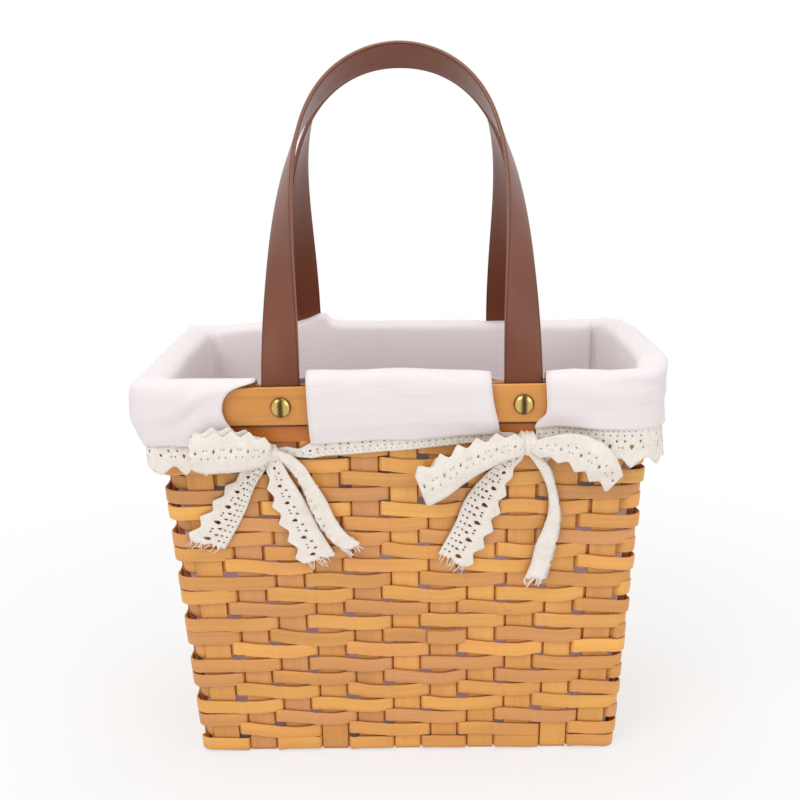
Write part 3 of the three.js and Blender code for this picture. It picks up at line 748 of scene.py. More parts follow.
def strap(name, turned, nodes):
    arch = even_arch()
    left, right = tab_line(-1), tab_line(1)[::-1]
    line = np.concatenate([left, arch, right])
    lead = len(left)
    u = np.concatenate([np.zeros(lead), np.linspace(0, 1, len(arch)), np.ones(lead)])
    tangent = unit(np.gradient(line, axis=0))
    outwards = np.array([0, -math.cos(arch_lean), math.sin(arch_lean)])
    facing = unit(outwards - tangent * (tangent @ outwards)[:, None])
    inwards = np.cross(tangent, facing)
    to_top = 1 - np.abs(1 - 2 * u)
    twist = (arch_twist * (1 - (1 - to_top) ** ARCH_TWIST_EASE))[:, None]
    across_way = inwards * np.cos(twist) + facing * np.sin(twist)
    out_way = np.cross(across_way, tangent)
    length = distances(line)
    from_end = np.minimum(length, length[-1] - length)
    tip = STRAP_WIDTH / 4
    narrow = 1 - 0.5 * (1 - np.sqrt(1 - (1 - np.clip(from_end / tip, 0, 1)) ** 2))

    def place(across, out):
        return (line[:, None] + (across * narrow[:, None])[..., None] * across_way[:, None]
                + out[..., None] * out_way[:, None])

    profile = slat_profile(STRAP_WIDTH, STRAP_THICKNESS, edge=0.6, crown=0.1)
    piece = slat_piece(name, place, length, profile, strap_leather, 0.5)
    if turned:
        piece.data.transform(HALF_TURN)
    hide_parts(*nodes)
    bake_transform(piece)


for where, turned in SIDES:
    nodes = [f"{where}_{end}" for end in ("handle_arch", "left_strap_end", "right_strap_end")]
    strap(f"{where}_strap", turned, nodes)

# Rivets

RIVET_CAP_RADIUS = 5.0
RIVET_CAP_HEIGHT = 3.0
CAP_RIM = 0.35
HEAD_RADIUS = 4.0
HEAD_THICKNESS = 0.9
POST_RADIUS = 2.0
# How far the cap and the head stand off the hoops
CAP_GAP = 0.05
HEAD_GAP = 0.3
RIVET_SIDES = 48


def rivet(name, node_name, x, turned):
    """A domed cap with a small rim, a post and an inner head, turned about its own axis."""
    seat = HOOP_OUTER + CAP_GAP
    dome = [(RIVET_CAP_RADIUS * math.cos(a),
             seat + CAP_RIM + (RIVET_CAP_HEIGHT - CAP_RIM) * math.sin(a))
            for a in np.linspace(0, math.pi / 2, 13)[:-1]]
    head = INNER_HOOP_FACE - HEAD_GAP
    profile = [(HEAD_RADIUS - 0.1, head - HEAD_THICKNESS), (HEAD_RADIUS, head - 0.6),
               (HEAD_RADIUS, head), (POST_RADIUS, head), (POST_RADIUS, seat),
               (RIVET_CAP_RADIUS - 0.15, seat), (RIVET_CAP_RADIUS, seat + 0.12), *dome]
    angles = np.linspace(0, 2 * math.pi, RIVET_SIDES, endpoint=False)
    points = [[(r * math.cos(a), -out, r * math.sin(a)) for a in angles] for r, out in profile]
    points = np.array(points).reshape(-1, 3)
    faces = grid_faces(len(profile), RIVET_SIDES, columns_closed=True)
    last = (len(profile) - 1) * RIVET_SIDES
    apex = len(points)
    points = np.vstack([points, [0, -(seat + RIVET_CAP_HEIGHT), 0]])
    faces += [(last + k, last + (k + 1) % RIVET_SIDES, apex) for k in range(RIVET_SIDES)]
    faces.append(tuple(reversed(range(RIVET_SIDES))))
    rise = (-points[:, 1] - seat) / RIVET_CAP_HEIGHT
    aside = points[:, 0] / RIVET_CAP_RADIUS
    piece = make_piece(name, points, faces, rivet_brass, np.column_stack([rise, aside, aside]))
    origin = on_front(x, (hoop_bottom + rim_z) / 2, 0.0)
    leant = Matrix.Translation(Vector(origin) * MM) @ Matrix.Rotation(wall_tilt, 4, "X")
    piece.data.transform(HALF_TURN @ leant if turned else leant)
    in_basket(piece, "rivet_brass", node_name)


for where, turned in SIDES:
    for hand, x in (("left", -STRAP_X), ("right", STRAP_X)):
        named = {"left": "right", "right": "left"}[hand] if turned else hand
        rivet(f"{where}_{named}_rivet_cap", f"{where}_{named}_rivet", x, turned)

# Cloth liner: a bag inside the wall, folded over the rim, with a slot at each strap

HEM_Z = 172.0
HEM_X = [-125, -60, -41, -13, 1, 25, 46, 78, 110, 125]
HEM_HEIGHT = [172, 171.8, 171.1, 173, 172.6, 174.4, 175.3, 178.8, 177.5, 178.5]
SLOT_EDGES = [-70.0, -45.3, 42.5, 68.8]
LINER_THICKNESS = 0.9
# How far the fold-over stands out beyond its path: all along the left side, and at the
# corners, which are squarer than the wall's. Its hem comes back in
LEFT_ROLL = 2.6
LEFT_PUFF = 4.8
RIGHT_PUFF = 0.6
LEFT_TUCK = 4.8
RIGHT_TUCK = 1.3
RIGHT_PLUMP = 3.2
# The distances along the front past which it hangs straight, and past which it is a side's.
# Both fade in over a width
HANG_START = 74
HANG_WIDTH = 26
SIDE_START = 96
SIDE_WIDTH = 20
# Offset from the wall's middle and height, from the floor over the rim to the hem
LINER_PATH = [(-3.4, 4.2), (-3.4, 30), (-3.4, 60), (-3.4, 90), (-3.4, 120), (-3.5, 150),
              (-4.2, 170), (-5.6, 182), (-5.7, 196), (-4.6, 201.6), (-0.8, 203.6), (3.6, 203.4),
              (7.4, 200.6), (9.4, 195), (9.3, 188), (8.2, 181), (6.3, 176), (4.9, HEM_Z)]
# The point at the rim's inner edge, and the one that stands out furthest
PATH_RIM = 8
PATH_WIDEST = 13
INNER_ROWS = 26
OVER_ROWS = 46
# Where the slots start: at a row inside the front rim, and over the strap's face at the back
FRONT_SLOT_ROW = 28
BACK_SLOT_OFFSET = 0.0
# The left slot's outer edge in the front flap: distance along the front at heights
LEFT_SLOT_HEIGHT = [168, 172, 176, 180, 184, 189, 193, 196, 198.5, 200.6, 202, 203.3]
LEFT_SLOT_OUTER = [-72, -75, -79, -82, -84.5, -85.8, -85.4, -84.4, -82.6, -79.5, -74.5, -69.5]
# The middle flap's two edges and the right slot's outer edge, at the hem
MIDDLE_FLAP = (-44.6, 46.6)
RIGHT_SLOT_OUTER = 63.8
# How much higher the roll of cloth stands over the front and back rims, at places along
# them, and over the sides, at places from front to back
FRONT_ROLL_X = [-125, -100, -72, -45, 0, 35, 60, 82, 100, 125]
FRONT_ROLL_RISE = [0.0, -0.2, -1.2, 3.2, 3.6, 1.6, 0.2, 2.0, 0.6, 2.5]
BACK_ROLL_X = [-125, -100, -78, -64, -56, -49, -46, -43, -36, 0, 30, 48, 90, 125]
BACK_ROLL_RISE = [-1.5, 0.2, 1.6, 1.8, 4.0, 7.4, 7.4, 3.0, 1.4, 1.3, 1.6, 0.6, 0.4, 0.6]
SIDE_ROLL_Y = [-80, -50, -15, 25, 60, 85]
RIGHT_ROLL_RISE = [5.0, 6.5, 6.5, 5.0, 3.0, 1.4]
LEFT_ROLL_RISE = [0.0, 0.0, 0.0, 0.0, -0.6, -1.5]
# Diagonal folds of the front flap: x, height, slope and depth
FLAP_FOLDS = ((-94, 194, 0.42, 1.5), (-100, 187, 0.36, -1.2), (92, 195, -0.35, 0.9),
              (100, 186, -0.2, -0.5), (113, 199.5, -0.12, -1.4), (20, 186, 0.1, 0.4))
FOLD_REACH = 20.0
FOLD_WIDTH = 4.0
# Creases of the bag at its back corners: place round the wall, width and depth
BAG_CREASES = ((knots[5] + 7, 4.5, 1.0), (knots[5] - 2, 2.6, 0.9), (knots[4] - 7, 1.8, -1.5),
               (knots[4] - 3, 1.4, 5.0), (knots[3] + 5, 1.8, 4.0))


def bell(away, width):
    """1 at a place, fading to 0 around it."""
    return np.exp(-((away / width) ** 2))


def hem_at(x):
    return np.interp(x, HEM_X, HEM_HEIGHT)


def slot_edges(z):
    """The four slot edges along the front, at a height on the outer side."""
    up = z - HEM_Z
    return [np.interp(z, LEFT_SLOT_HEIGHT, LEFT_SLOT_OUTER), MIDDLE_FLAP[0] - 0.03 * up,
            MIDDLE_FLAP[1] - 4.1 * smooth(up / 30),
            RIGHT_SLOT_OUTER + 4.2 * smooth(up / 12) + 0.9 * bell(z - 189, 9)]


def hang_share(x):
    """1 at the corners and sides, where the fold-over hangs straight, and 0 between the bows."""
    return smooth((np.abs(x) - HANG_START) / HANG_WIDTH)


def side_shares(x):
    """How much a place belongs to the left side and to the right side."""
    return smooth((-x - SIDE_START) / SIDE_WIDTH), smooth((x - SIDE_START) / SIDE_WIDTH)


def stand_out(q):
    """How far the fold-over stands out beyond its path, at places round the wall."""
    left, right = side_shares(wall(q, rim_z, 0.0)[..., 0])
    return LEFT_ROLL * left + (LEFT_PUFF * left + RIGHT_PUFF * right) * corner_share(q) ** 2


def tucked_in(q, z):
    """How far the fold-over's lower part comes back in, towards its hem."""
    left, right = side_shares(wall(q, rim_z, 0.0)[..., 0])
    lower = np.clip((190 - z) / 16, 0, 1.1)
    return LEFT_TUCK * left * lower**2 + RIGHT_TUCK * right * smooth((196 - z) / 8)


def flap_offset(x, z):
    """The fold-over's own offset at a height: it leans in to its hem between the bows, and
    hangs straight down at the sides."""
    offsets, heights = zip(*LINER_PATH[:PATH_WIDEST - 1:-1])
    path = np.interp(z, heights, offsets)
    hung = offsets[-1] + FLARE * (heights[-1] - z) / rim_z
    return path + hang_share(x) * np.maximum(0, hung - path)


def hem_offset(q, z):
    """How far out the fold-over's hem, and anything sewn to it, is at places round the wall."""
    x = wall(q, rim_z, 0.0)[..., 0]
    return flap_offset(x, z) + stand_out(q) - tucked_in(q, z)


def liner_columns():
    """Places round the wall, closer at the corners, with one at every slot edge."""
    columns = [np.linspace(a, b, (1, 14, 36, 14)[k % 4])
               for k, (a, b) in enumerate(zip(knots, knots[1:]))]
    marks = [unfanned(edge) for edge in SLOT_EDGES]
    front = np.unique(np.concatenate([np.linspace(a, b, max(2, int((b - a) / 2.6)))
                                      for a, b in zip([-core_x, *marks], [*marks, core_x])]))
    columns[0] = FRONT + core_x + front
    columns[4] = BACK + core_x + front
    return np.unique(np.round(np.mod(np.concatenate(columns), around), 6))


def unfanned(x):
    """The place along the front at the base that comes to x at the rim."""
    place = x
    for _ in range(6):
        place = x - (fanned(place, core_x, rim_z) - place)
    return place


def liner():
    q = liner_columns()
    inner = spline(LINER_PATH[:PATH_RIM + 1], np.linspace(0, 1, INNER_ROWS))
    over = spline(LINER_PATH[PATH_RIM:], np.linspace(0, 1, OVER_ROWS))[1:]
    path = np.vstack([inner, over])
    rows, count = len(path), len(q)
    offset = np.repeat(path[:, :1], count, 1)
    z = np.repeat(path[:, 1:], count, 1)
    share = np.concatenate([np.zeros(INNER_ROWS), np.linspace(0, 1, OVER_ROWS - 1)])
    loose, outer = smooth(share * 1.6)[:, None], smooth(share * 3.6)[:, None]
    along_path = distances(path)

    # The roll's height, the hem's slope, and how the fold-over hangs
    x, y, _ = wall(q, rim_z, 0.0).T
    front_share, back_share = smooth((-y - core_y - 4) / 8), smooth((y - core_y - 4) / 8)
    side_rise = np.where(x > 0, np.interp(y, SIDE_ROLL_Y, RIGHT_ROLL_RISE),
                         np.interp(y, SIDE_ROLL_Y, LEFT_ROLL_RISE))
    roll = (np.interp(x, FRONT_ROLL_X, FRONT_ROLL_RISE) * front_share
            + np.interp(x, BACK_ROLL_X, BACK_ROLL_RISE) * back_share
            + side_rise * (1 - front_share) * (1 - back_share))
    near_rim = bell(z - rim_z - 1, 9)
    right = side_shares(x)[1]
    plump = RIGHT_PLUMP * right * smooth((90 - y) / 60) * (1 - 0.5 * front_share)
    offset += outer * bell(z - rim_z - 4, 5) * plump
    z += near_rim * (roll + 0.8 * corner_share(q) + 0.4 * drift(q, 22, 3))
    offset += outer * stand_out(q)
    below_roll = (share[:, None] > 0.3) & (path[:, 1:] < LINER_PATH[PATH_WIDEST][1])
    hung = flap_offset(x, path[:, 1:]) - tucked_in(q, path[:, 1:])
    offset += below_roll * (hung - path[:, :1])
    below = smooth((192 - z) / 20) * loose
    z += below * (hem_at(x) - HEM_Z)

    # Soft folds: slack waves on the flap, pulls by the slots, and the bag's own creases
    waves = 0.55 * drift(q + 0.5 * z, 17, 5) + 0.3 * drift(q - 0.8 * z, 9, 6)
    offset += loose * waves * smooth((z - HEM_Z) / 10)
    for fold_x, fold_z, slope, depth in FLAP_FOLDS:
        away = z - fold_z - slope * (x - fold_x)
        reach = bell(x - fold_x, FOLD_REACH) * bell(away, FOLD_WIDTH)
        offset += depth * reach * loose * front_share
    inside = (1 - loose) * smooth((z - 10) / 30)
    offset -= inside * (0.5 + 0.5 * drift(q + 0.15 * z, 26, 8)) * smooth((206 - z) / 8)
    for fold_q, width, depth in BAG_CREASES:
        offset -= inside * depth * bell(q - fold_q, width)
    points = wall(q, z, offset)

    # The slots' edges: on the flap, columns slide along the wall to follow them
    for wall_start, turned in ((FRONT, 1), (BACK, -1)):
        on_wall = np.nonzero((q >= wall_start - 0.01) & (q <= wall_start + 2 * core_x + 0.01))[0]
        columns_x = turned * x[on_wall]
        limits = [columns_x.min(), *SLOT_EDGES, columns_x.max()]
        for i in range(INNER_ROWS, rows):
            over_edge = smooth((share[i] - 0.2) / 0.14)
            wanted = [limits[0], *slot_edges(path[i, 1]), limits[-1]]
            slide = np.interp(columns_x, limits, wanted) - columns_x
            points[i, on_wall, 0] += turned * slide * over_edge

    # Quads, less those in the slots
    middle_x, middle_y = (np.stack([x, y]) + np.roll([x, y], -1, axis=1)) / 2
    front = middle_y < 0
    along = np.where(front, middle_x, -middle_x)
    on_flat = np.abs(middle_y) > core_y + BASE_RADIUS + FLARE - 1
    row = np.arange(rows)[:, None]
    started = np.where(front, row >= FRONT_SLOT_ROW,
                       (row > INNER_ROWS) & (path[:, :1] > BACK_SLOT_OFFSET))
    open_quads = on_flat & (np.searchsorted(SLOT_EDGES, along) % 2 == 1) & started
    faces = [face for face in grid_faces(rows, count, columns_closed=True)
             if not open_quads.flat[face[0]]]

    # The bag's floor: rings that close on its middle
    flat_points = points.reshape(-1, 3)
    grain = np.stack([np.repeat(q[None, :], rows, 0) * MM,
                      np.repeat(along_path[:, None], count, 1) * MM, np.zeros_like(z)], -1)
    flat_grain = grain.reshape(-1, 3)
    loop = np.arange(count)
    edge_loop = points[0]
    for inwards in (0.3, 0.65):
        start = len(flat_points)
        closer = edge_loop * (1 - inwards)
        closer[:, 2] = edge_loop[:, 2]
        flat_points = np.vstack([flat_points, closer])
        ring_grain = np.column_stack([closer[:, :2] * MM, np.zeros(count)])
        flat_grain = np.vstack([flat_grain, ring_grain])
        faces += [(loop[k], start + k, start + (k + 1) % count, loop[(k + 1) % count])
                  for k in range(count)]
        loop = np.arange(start, start + count)
    middle = len(flat_points)
    flat_points = np.vstack([flat_points, [0, 0, edge_loop[0, 2]]])
    flat_grain = np.vstack([flat_grain, [0, 0, 0]])
    faces += [(loop[k], middle, loop[(k + 1) % count]) for k in range(count)]

    piece = make_piece("folded_liner", flat_points, faces, liner_cloth, flat_grain)
    clean_loose(piece)
    thicken(piece, LINER_THICKNESS)
    in_basket(piece, "liner_cloth", "cloth_liner")


def clean_loose(piece):
    """Drops the points that no face uses."""
    work = bmesh.new()
    work.from_mesh(piece.data)
    bmesh.ops.delete(work, geom=[v for v in work.verts if not v.link_faces], context="VERTS")
    bmesh.ops.recalc_face_normals(work, faces=work.faces)
    work.to_mesh(piece.data)
    work.free()


liner()

# Lace: one repeat is drawn flat, with its eyelets and teeth, and bent along each ribbon

LACE_PITCH = 10.5
LACE_WIDTH = 18.0
LACE_THICKNESS = 0.5
# Spacing of the points between the holes, how far apart their rows stand as a share of it, and
# how clear they keep of the edges
LACE_GRID = 1.5
LACE_ROW_SHARE = 0.87
LACE_CLEARANCE = 0.55
# Steps along one repeat's straight edge, and across it up to the valley
LACE_STEPS = 7
CROSS_STEPS = 11
THREADS = 9
THREAD_WIDTH = 0.32
# The least share of a ribbon's flat rectangle that counts as its cloth
# The teeth's outline (along, across), from one valley to the next
LACE_VALLEY = 13.8
LACE_TEETH = [(0, LACE_VALLEY), (0.8, 13.9), (2.4, 15.3), (3.9, 16.9), (5.25, 18.0), (6.6, 16.9),
              (8.1, 15.3), (9.7, 13.9), (10.5, LACE_VALLEY)]
# Rows of small eyelets near the straight edge: place across, number in a repeat, radius
HEM_EYELETS = ((1.7, 4, 0.3), (3.6, 3, 0.4))
TAIL_EYELETS = ((1.8, 3, 0.5), (3.9, 3, 0.6))


def disc(s, v, radius, sides=8):
    return [(s + radius * math.cos(a), v + radius * math.sin(a))
            for a in np.linspace(0, 2 * math.pi, sides, endpoint=False)]


def teardrop(s, v, radius):
    return [(s + radius * math.cos(a), v + radius * math.sin(a))
            for a in np.radians([150, 210, 270, 330, 30])] + [(s, v + 1.9 * radius)]


def inside_outline(point, outline):
    """Whether a line from the point crosses the outline an odd number of times."""
    crossings = 0
    for (s1, v1), (s2, v2) in zip(outline, outline[1:] + outline[:1]):
        if (v1 > point[1]) != (v2 > point[1]):
            crossings += point[0] < s1 + (point[1] - v1) / (v2 - v1) * (s2 - s1)
    return crossings % 2 == 1


def lace_repeat(rows, large):
    """One repeat laid flat: its points (along, across) and the triangles between its holes.
    rows are its small eyelets, and large is the size of its larger holes."""
    holes = [disc(LACE_PITCH * (k + 0.5) / number, v, radius, 6)
             for v, number, radius in rows for k in range(number)]
    holes += [teardrop(s, 6.0, 0.5 * large) for s in (2.0, 8.5)]
    holes.append(teardrop(5.25, 8.3, 0.85 * large))
    holes += [disc(s, 9.0, 0.4 * large) for s in (0.9, 9.6)]
    foot = [(LACE_PITCH * k / LACE_STEPS, 0.0) for k in range(LACE_STEPS)]
    rise = [(LACE_PITCH, LACE_VALLEY * k / CROSS_STEPS) for k in range(CROSS_STEPS)]
    outline = foot + rise + LACE_TEETH[::-1] + [(0.0, v) for _, v in rise[:0:-1]]
    rims = [p for hole in holes for p in hole] + outline

    def is_lace(point):
        in_hole = any(inside_outline(point, hole) for hole in holes)
        return inside_outline(point, outline) and not in_hole

    grid = []
    for i, v in enumerate(np.arange(LACE_GRID, LACE_WIDTH, LACE_GRID * LACE_ROW_SHARE)):
        for s in np.arange(LACE_GRID / 2 + i % 2 * LACE_GRID / 2, LACE_PITCH - 0.3, LACE_GRID):
            nearest = min(math.hypot(s - a, v - b) for a, b in rims)
            if nearest > LACE_CLEARANCE and is_lace((s, v)):
                grid.append((s, v))
    points, edges = [], []
    for loop in [outline] + holes:
        start = len(points)
        points += loop
        edges += [(start + k, start + (k + 1) % len(loop)) for k in range(len(loop))]
    points += grid
    found = geometry.delaunay_2d_cdt([Vector(p) for p in points], edges, [], 0, 1e-4)
    flat = np.array([tuple(p) for p in found[0]])
    return flat, [tuple(face) for face in found[2] if is_lace(flat[list(face)].mean(0))]


hem_lace = lace_repeat(HEM_EYELETS, 1.0)
loop_lace = lace_repeat((), 0.8)
strip_lace = lace_repeat((), 1.2)
tail_lace = lace_repeat(TAIL_EYELETS, 1.4)


def flat_lace(pattern, repeats, frayed, seed):
    """A length of lace laid flat. A frayed end loses a ragged bit of its last millimetres."""
    repeat, triangles = pattern
    index, points, faces = {}, [], []
    length = repeats * LACE_PITCH
    for r in range(repeats):
        for triangle in triangles:
            corners = [(round(repeat[k][0] + r * LACE_PITCH, 3), round(repeat[k][1], 3))
                       for k in triangle]
            s, v = np.mean(corners, 0)
            if frayed and s > length - 0.8 - 1.8 * abs(noise.noise((v / 1.7, seed, 0.5))):
                continue
            for corner in corners:
                if corner not in index:
                    index[corner] = len(points)
                    points.append(corner)
            faces.append(tuple(index[c] for c in corners))
    return np.array(points), faces


def add_threads(points, faces, length, seed):
    """Loose thread ends at a frayed edge: thin strips that go on past it."""
    loose = np.random.default_rng(seed)
    points, faces = list(map(tuple, points)), list(faces)
    for _ in range(THREADS):
        v = loose.uniform(1.0, 14.0)
        reach, bend = loose.uniform(1.5, 4.5), loose.uniform(-1.5, 1.5)
        start = len(points)
        for t in np.linspace(0, 1, 5):
            s = length - 2.0 + (reach + 1.5) * t
            centre = v + bend * t * t
            points += [(s, centre - THREAD_WIDTH / 2), (s, centre + THREAD_WIDTH / 2)]
        faces += [(start + 2 * k, start + 2 * k + 2, start + 2 * k + 3, start + 2 * k + 1)
                  for k in range(4)]
    return np.array(points), faces


def lace_ribbon(name, place, length, replaced, pattern, frayed, seed):
    """A ribbon of lace. place(t, share) gives its points, from 0 to 1 along and across."""
    repeats = max(1, round(length / LACE_PITCH))
    flat, faces = flat_lace(pattern, repeats, frayed, seed)
    run = repeats * LACE_PITCH
    if frayed:
        flat, faces = add_threads(flat, faces, run, seed)
    points = place(flat[:, 0] / run, flat[:, 1] / LACE_WIDTH)
    grain = np.column_stack([flat * MM, np.full(len(flat), float(seed))])
    piece = make_piece(name, points, faces, lace_cotton, grain)
    thicken(piece, LACE_THICKNESS)
    in_basket(piece, "lace_cotton", replaced)
    return piece


WRINKLE = 0.5
LAYER_GAP = 0.7
# The least offset of a bow's ribbon from the wall's middle, just off the weave
BOW_NEAREST = 2.6


def clear_flap(x, z, off):
    """How much further out a bow's ribbon lies where the fold-over hangs behind it."""
    beside = smooth((-72 - x) / 8) + smooth((x - 66) / 8)
    cover = np.maximum(0, flap_offset(x, z) - 4.0) * beside * smooth((z - 152) / 8)
    return cover * (1 - 0.45 * smooth((off - 5) / 6))


def between_edges(straight, teeth, seed, crown, folds, flatten):
    """Places on the front wall between a ribbon's straight edge and its toothed edge, each
    through points (x, z, offset). A ribbon of several folds goes to and fro between them.
    flatten below 1 gives the curled teeth of a gathered ribbon, seen shorter."""
    root = LACE_VALLEY / LACE_WIDTH

    def place(t, share):
        share = np.minimum(share, root) + np.maximum(0, share - root) * flatten
        share = share / (root + (1 - root) * flatten)
        turn = np.mod(share * folds, 2)
        across = 1 - np.abs(1 - turn)
        a, b = spline(straight, t), spline(teeth, t)
        p = a + (b - a) * across[:, None]
        rumple = drift(t * 6 + 0.7 * share, 0.9, seed) + drift(share * 4 - t * 3, 1.0, seed + 3)
        off = p[:, 2] + crown * np.sin(math.pi * across) + WRINKLE * rumple * np.minimum(1, 6 * t)
        off = off + clear_flap(p[:, 0], p[:, 1], p[:, 2])
        layer = np.minimum(np.floor(share * folds), folds - 1)
        off = off - LAYER_GAP * (layer + smooth(share * folds - layer) * (folds > 1))
        return on_front(p[:, 0], p[:, 1], np.maximum(off, BOW_NEAREST))
    return place


def edge_length(*edges):
    """The mean length of edges given by their points."""
    return sum(chords(spline(e, np.linspace(0, 1, 60))).sum() for e in edges) / len(edges)


# Hem ribbons, sewn on inside the liner's hem

HEM_LACE_BEHIND = 1.1
# How much further out the teeth hang at the basket's right end
RIGHT_LACE_FLARE = 2.2
HEM_RUMPLE = 0.3
# The ribbons' ends, as distances along the wall from the middle of the front or the back
MIDDLE_LACE_ENDS = (-60, 57)
SIDE_LACE_START = 62
RIGHT_LACE_END = -66
LEFT_LACE_END = -68
# How high over the hem the side ribbons' straight edge is, and how far they hang from there
LEFT_LACE_RISE = 3.5
RIGHT_LACE_RISE = 0.8
LEFT_LACE_DROP = 18.4
RIGHT_LACE_DROP = 19.4


def behind_hem(q):
    return hem_offset(q, np.full(len(q), HEM_Z)) - HEM_LACE_BEHIND


def hem_ribbon(name, start, end, straight_z, teeth_z, replaced, seed):
    """A ribbon round the wall from one place to another, between two heights by x."""
    def place(t, share):
        q = start + (end - start) * t
        x = wall(q, HEM_Z, 0.0)[:, 0]
        z = straight_z(x) + (teeth_z(x) - straight_z(x)) * share
        hang = hang_share(x) * FLARE * (HEM_Z - z) / rim_z
        off = behind_hem(q) + np.maximum(0, hang) + HEM_RUMPLE * drift(q, 7, seed)
        off = off + RIGHT_LACE_FLARE * np.sin(math.pi / 2 * share) * smooth((x - 88) / 18)
        return wall(q, z, off + HEM_RUMPLE * share * drift(q + 3 * share, 4, seed + 2))

    q = np.linspace(start, end, 200)
    length = chords(wall(q, HEM_Z, behind_hem(q))).sum()
    lace_ribbon(name, place, length, replaced, hem_lace, False, seed)


# The ribbon under the middle flap, gathered where it comes out to the two knots
MIDDLE_LACE_X = [-60, -50, -44.6, -38, -27, -13, 1, 25, 42, 47, 56]
MIDDLE_LACE_LOW = [166.2, 164.2, 163.6, 164.8, 165.4, 166.4, 167.2, 169.6, 171.2, 171.6, 171.2]
MIDDLE_LACE_HIGH = [169.6, 170.0, 171.4, 181.5, 182.4, 183.4, 184.2, 186.6, 186.5, 177.0, 174.6]


def side_straight(x):
    return hem_at(x) + np.where(x > 0, RIGHT_LACE_RISE, LEFT_LACE_RISE)


def side_teeth(x):
    return side_straight(x) - np.where(x > 0, RIGHT_LACE_DROP, LEFT_LACE_DROP)


front_middle_q, back_middle_q = FRONT + core_x, BACK + core_x
hem_ribbon("front_hem_lace", *(front_middle_q + end for end in MIDDLE_LACE_ENDS),
           lambda x: np.interp(x, MIDDLE_LACE_X, MIDDLE_LACE_LOW),
           lambda x: np.interp(x, MIDDLE_LACE_X, MIDDLE_LACE_HIGH), "front_lace_with_bows", 12)
hem_ribbon("back_hem_lace", *(back_middle_q + end for end in MIDDLE_LACE_ENDS),
           lambda x: hem_at(x) - 5.0, lambda x: hem_at(x) - 6.0 + LACE_WIDTH,
           "back_lace_with_bows", 10)
hem_ribbon("right_hem_lace", front_middle_q + SIDE_LACE_START, back_middle_q + RIGHT_LACE_END,
           side_straight, side_teeth, "right_lace", 14)
hem_ribbon("left_hem_lace", back_middle_q + SIDE_LACE_START,
           front_middle_q + LEFT_LACE_END + around, side_straight, side_teeth, "left_lace", 15)

# Bows: ribbons through points (x, z, offset) in front of the wall

LEFT_BOW = {
    "loop": dict(
        straight=[(-64, 163.8, 7), (-69.5, 160.6, 9), (-77, 159.8, 11.3), (-87, 159.6, 12),
            (-96.5, 160, 11.2), (-101.6, 162.3, 8.4), (-99, 165, 5.4), (-88, 165.5, 4.8),
            (-76, 165, 4.8), (-64.5, 166, 5)],
        teeth=[(-63, 173.2, 7.2), (-67.4, 176.8, 8.4), (-74, 179.2, 9.4), (-82.5, 180.4, 9.6),
            (-92.6, 180.4, 9.4), (-101.4, 178.2, 8.6), (-98, 180.4, 7), (-89.8, 182.4, 6.4),
            (-79, 181.2, 6), (-65, 173, 5.4)],
        crown=2, gather=1.3, flatten=0.5),
    "tail": dict(
        straight=[(-64, 163.5, 5.2), (-67.5, 157.5, 4.8), (-71.3, 152, 4.4), (-74.8, 144.5, 3.8),
            (-77.7, 137, 3.4), (-83.2, 126.5, 3.4), (-89.7, 115.5, 4.2)],
        teeth=[(-66.5, 166, 5.2), (-75, 160.5, 4.8), (-82.4, 154.5, 4.4), (-89.7, 147, 4),
            (-95.8, 139.4, 3.6), (-102, 132.1, 3.8), (-109.4, 121.3, 4.6)],
        frayed=True, pattern=tail_lace),
    "wide_strip": dict(
        straight=[(-60, 165, 5), (-55.1, 154.4, 4.6), (-50.2, 145.2, 3.8), (-45.7, 135, 3.4),
            (-40.2, 123.2, 3.4), (-33.6, 111.6, 4.2)],
        teeth=[(-66.2, 163, 5), (-66.8, 150.8, 4.6), (-65.2, 140.7, 4), (-62.2, 130.5, 3.6),
            (-57.4, 119.4, 3.8), (-52.7, 106.6, 4.6)],
        frayed=True),
    "narrow_strip": dict(
        straight=[(-60, 168.6, 6.4), (-53.5, 165.7, 6.4), (-48.4, 160.9, 6.2), (-43.4, 152.4, 5.8),
            (-38, 142.7, 5.4), (-33.9, 133.1, 5.2), (-29.2, 125.1, 5.2), (-20.6, 118.8, 5.4)],
        teeth=[(-62.4, 164.5, 6), (-57.2, 160.5, 6.2), (-54, 156.2, 6), (-49.9, 148.8, 5.8),
            (-47.6, 141.8, 5.6), (-44.4, 133.3, 5.4), (-39.2, 123.6, 5.4), (-29.1, 113.4, 5.6)],
        frayed=True, folds=2),
}
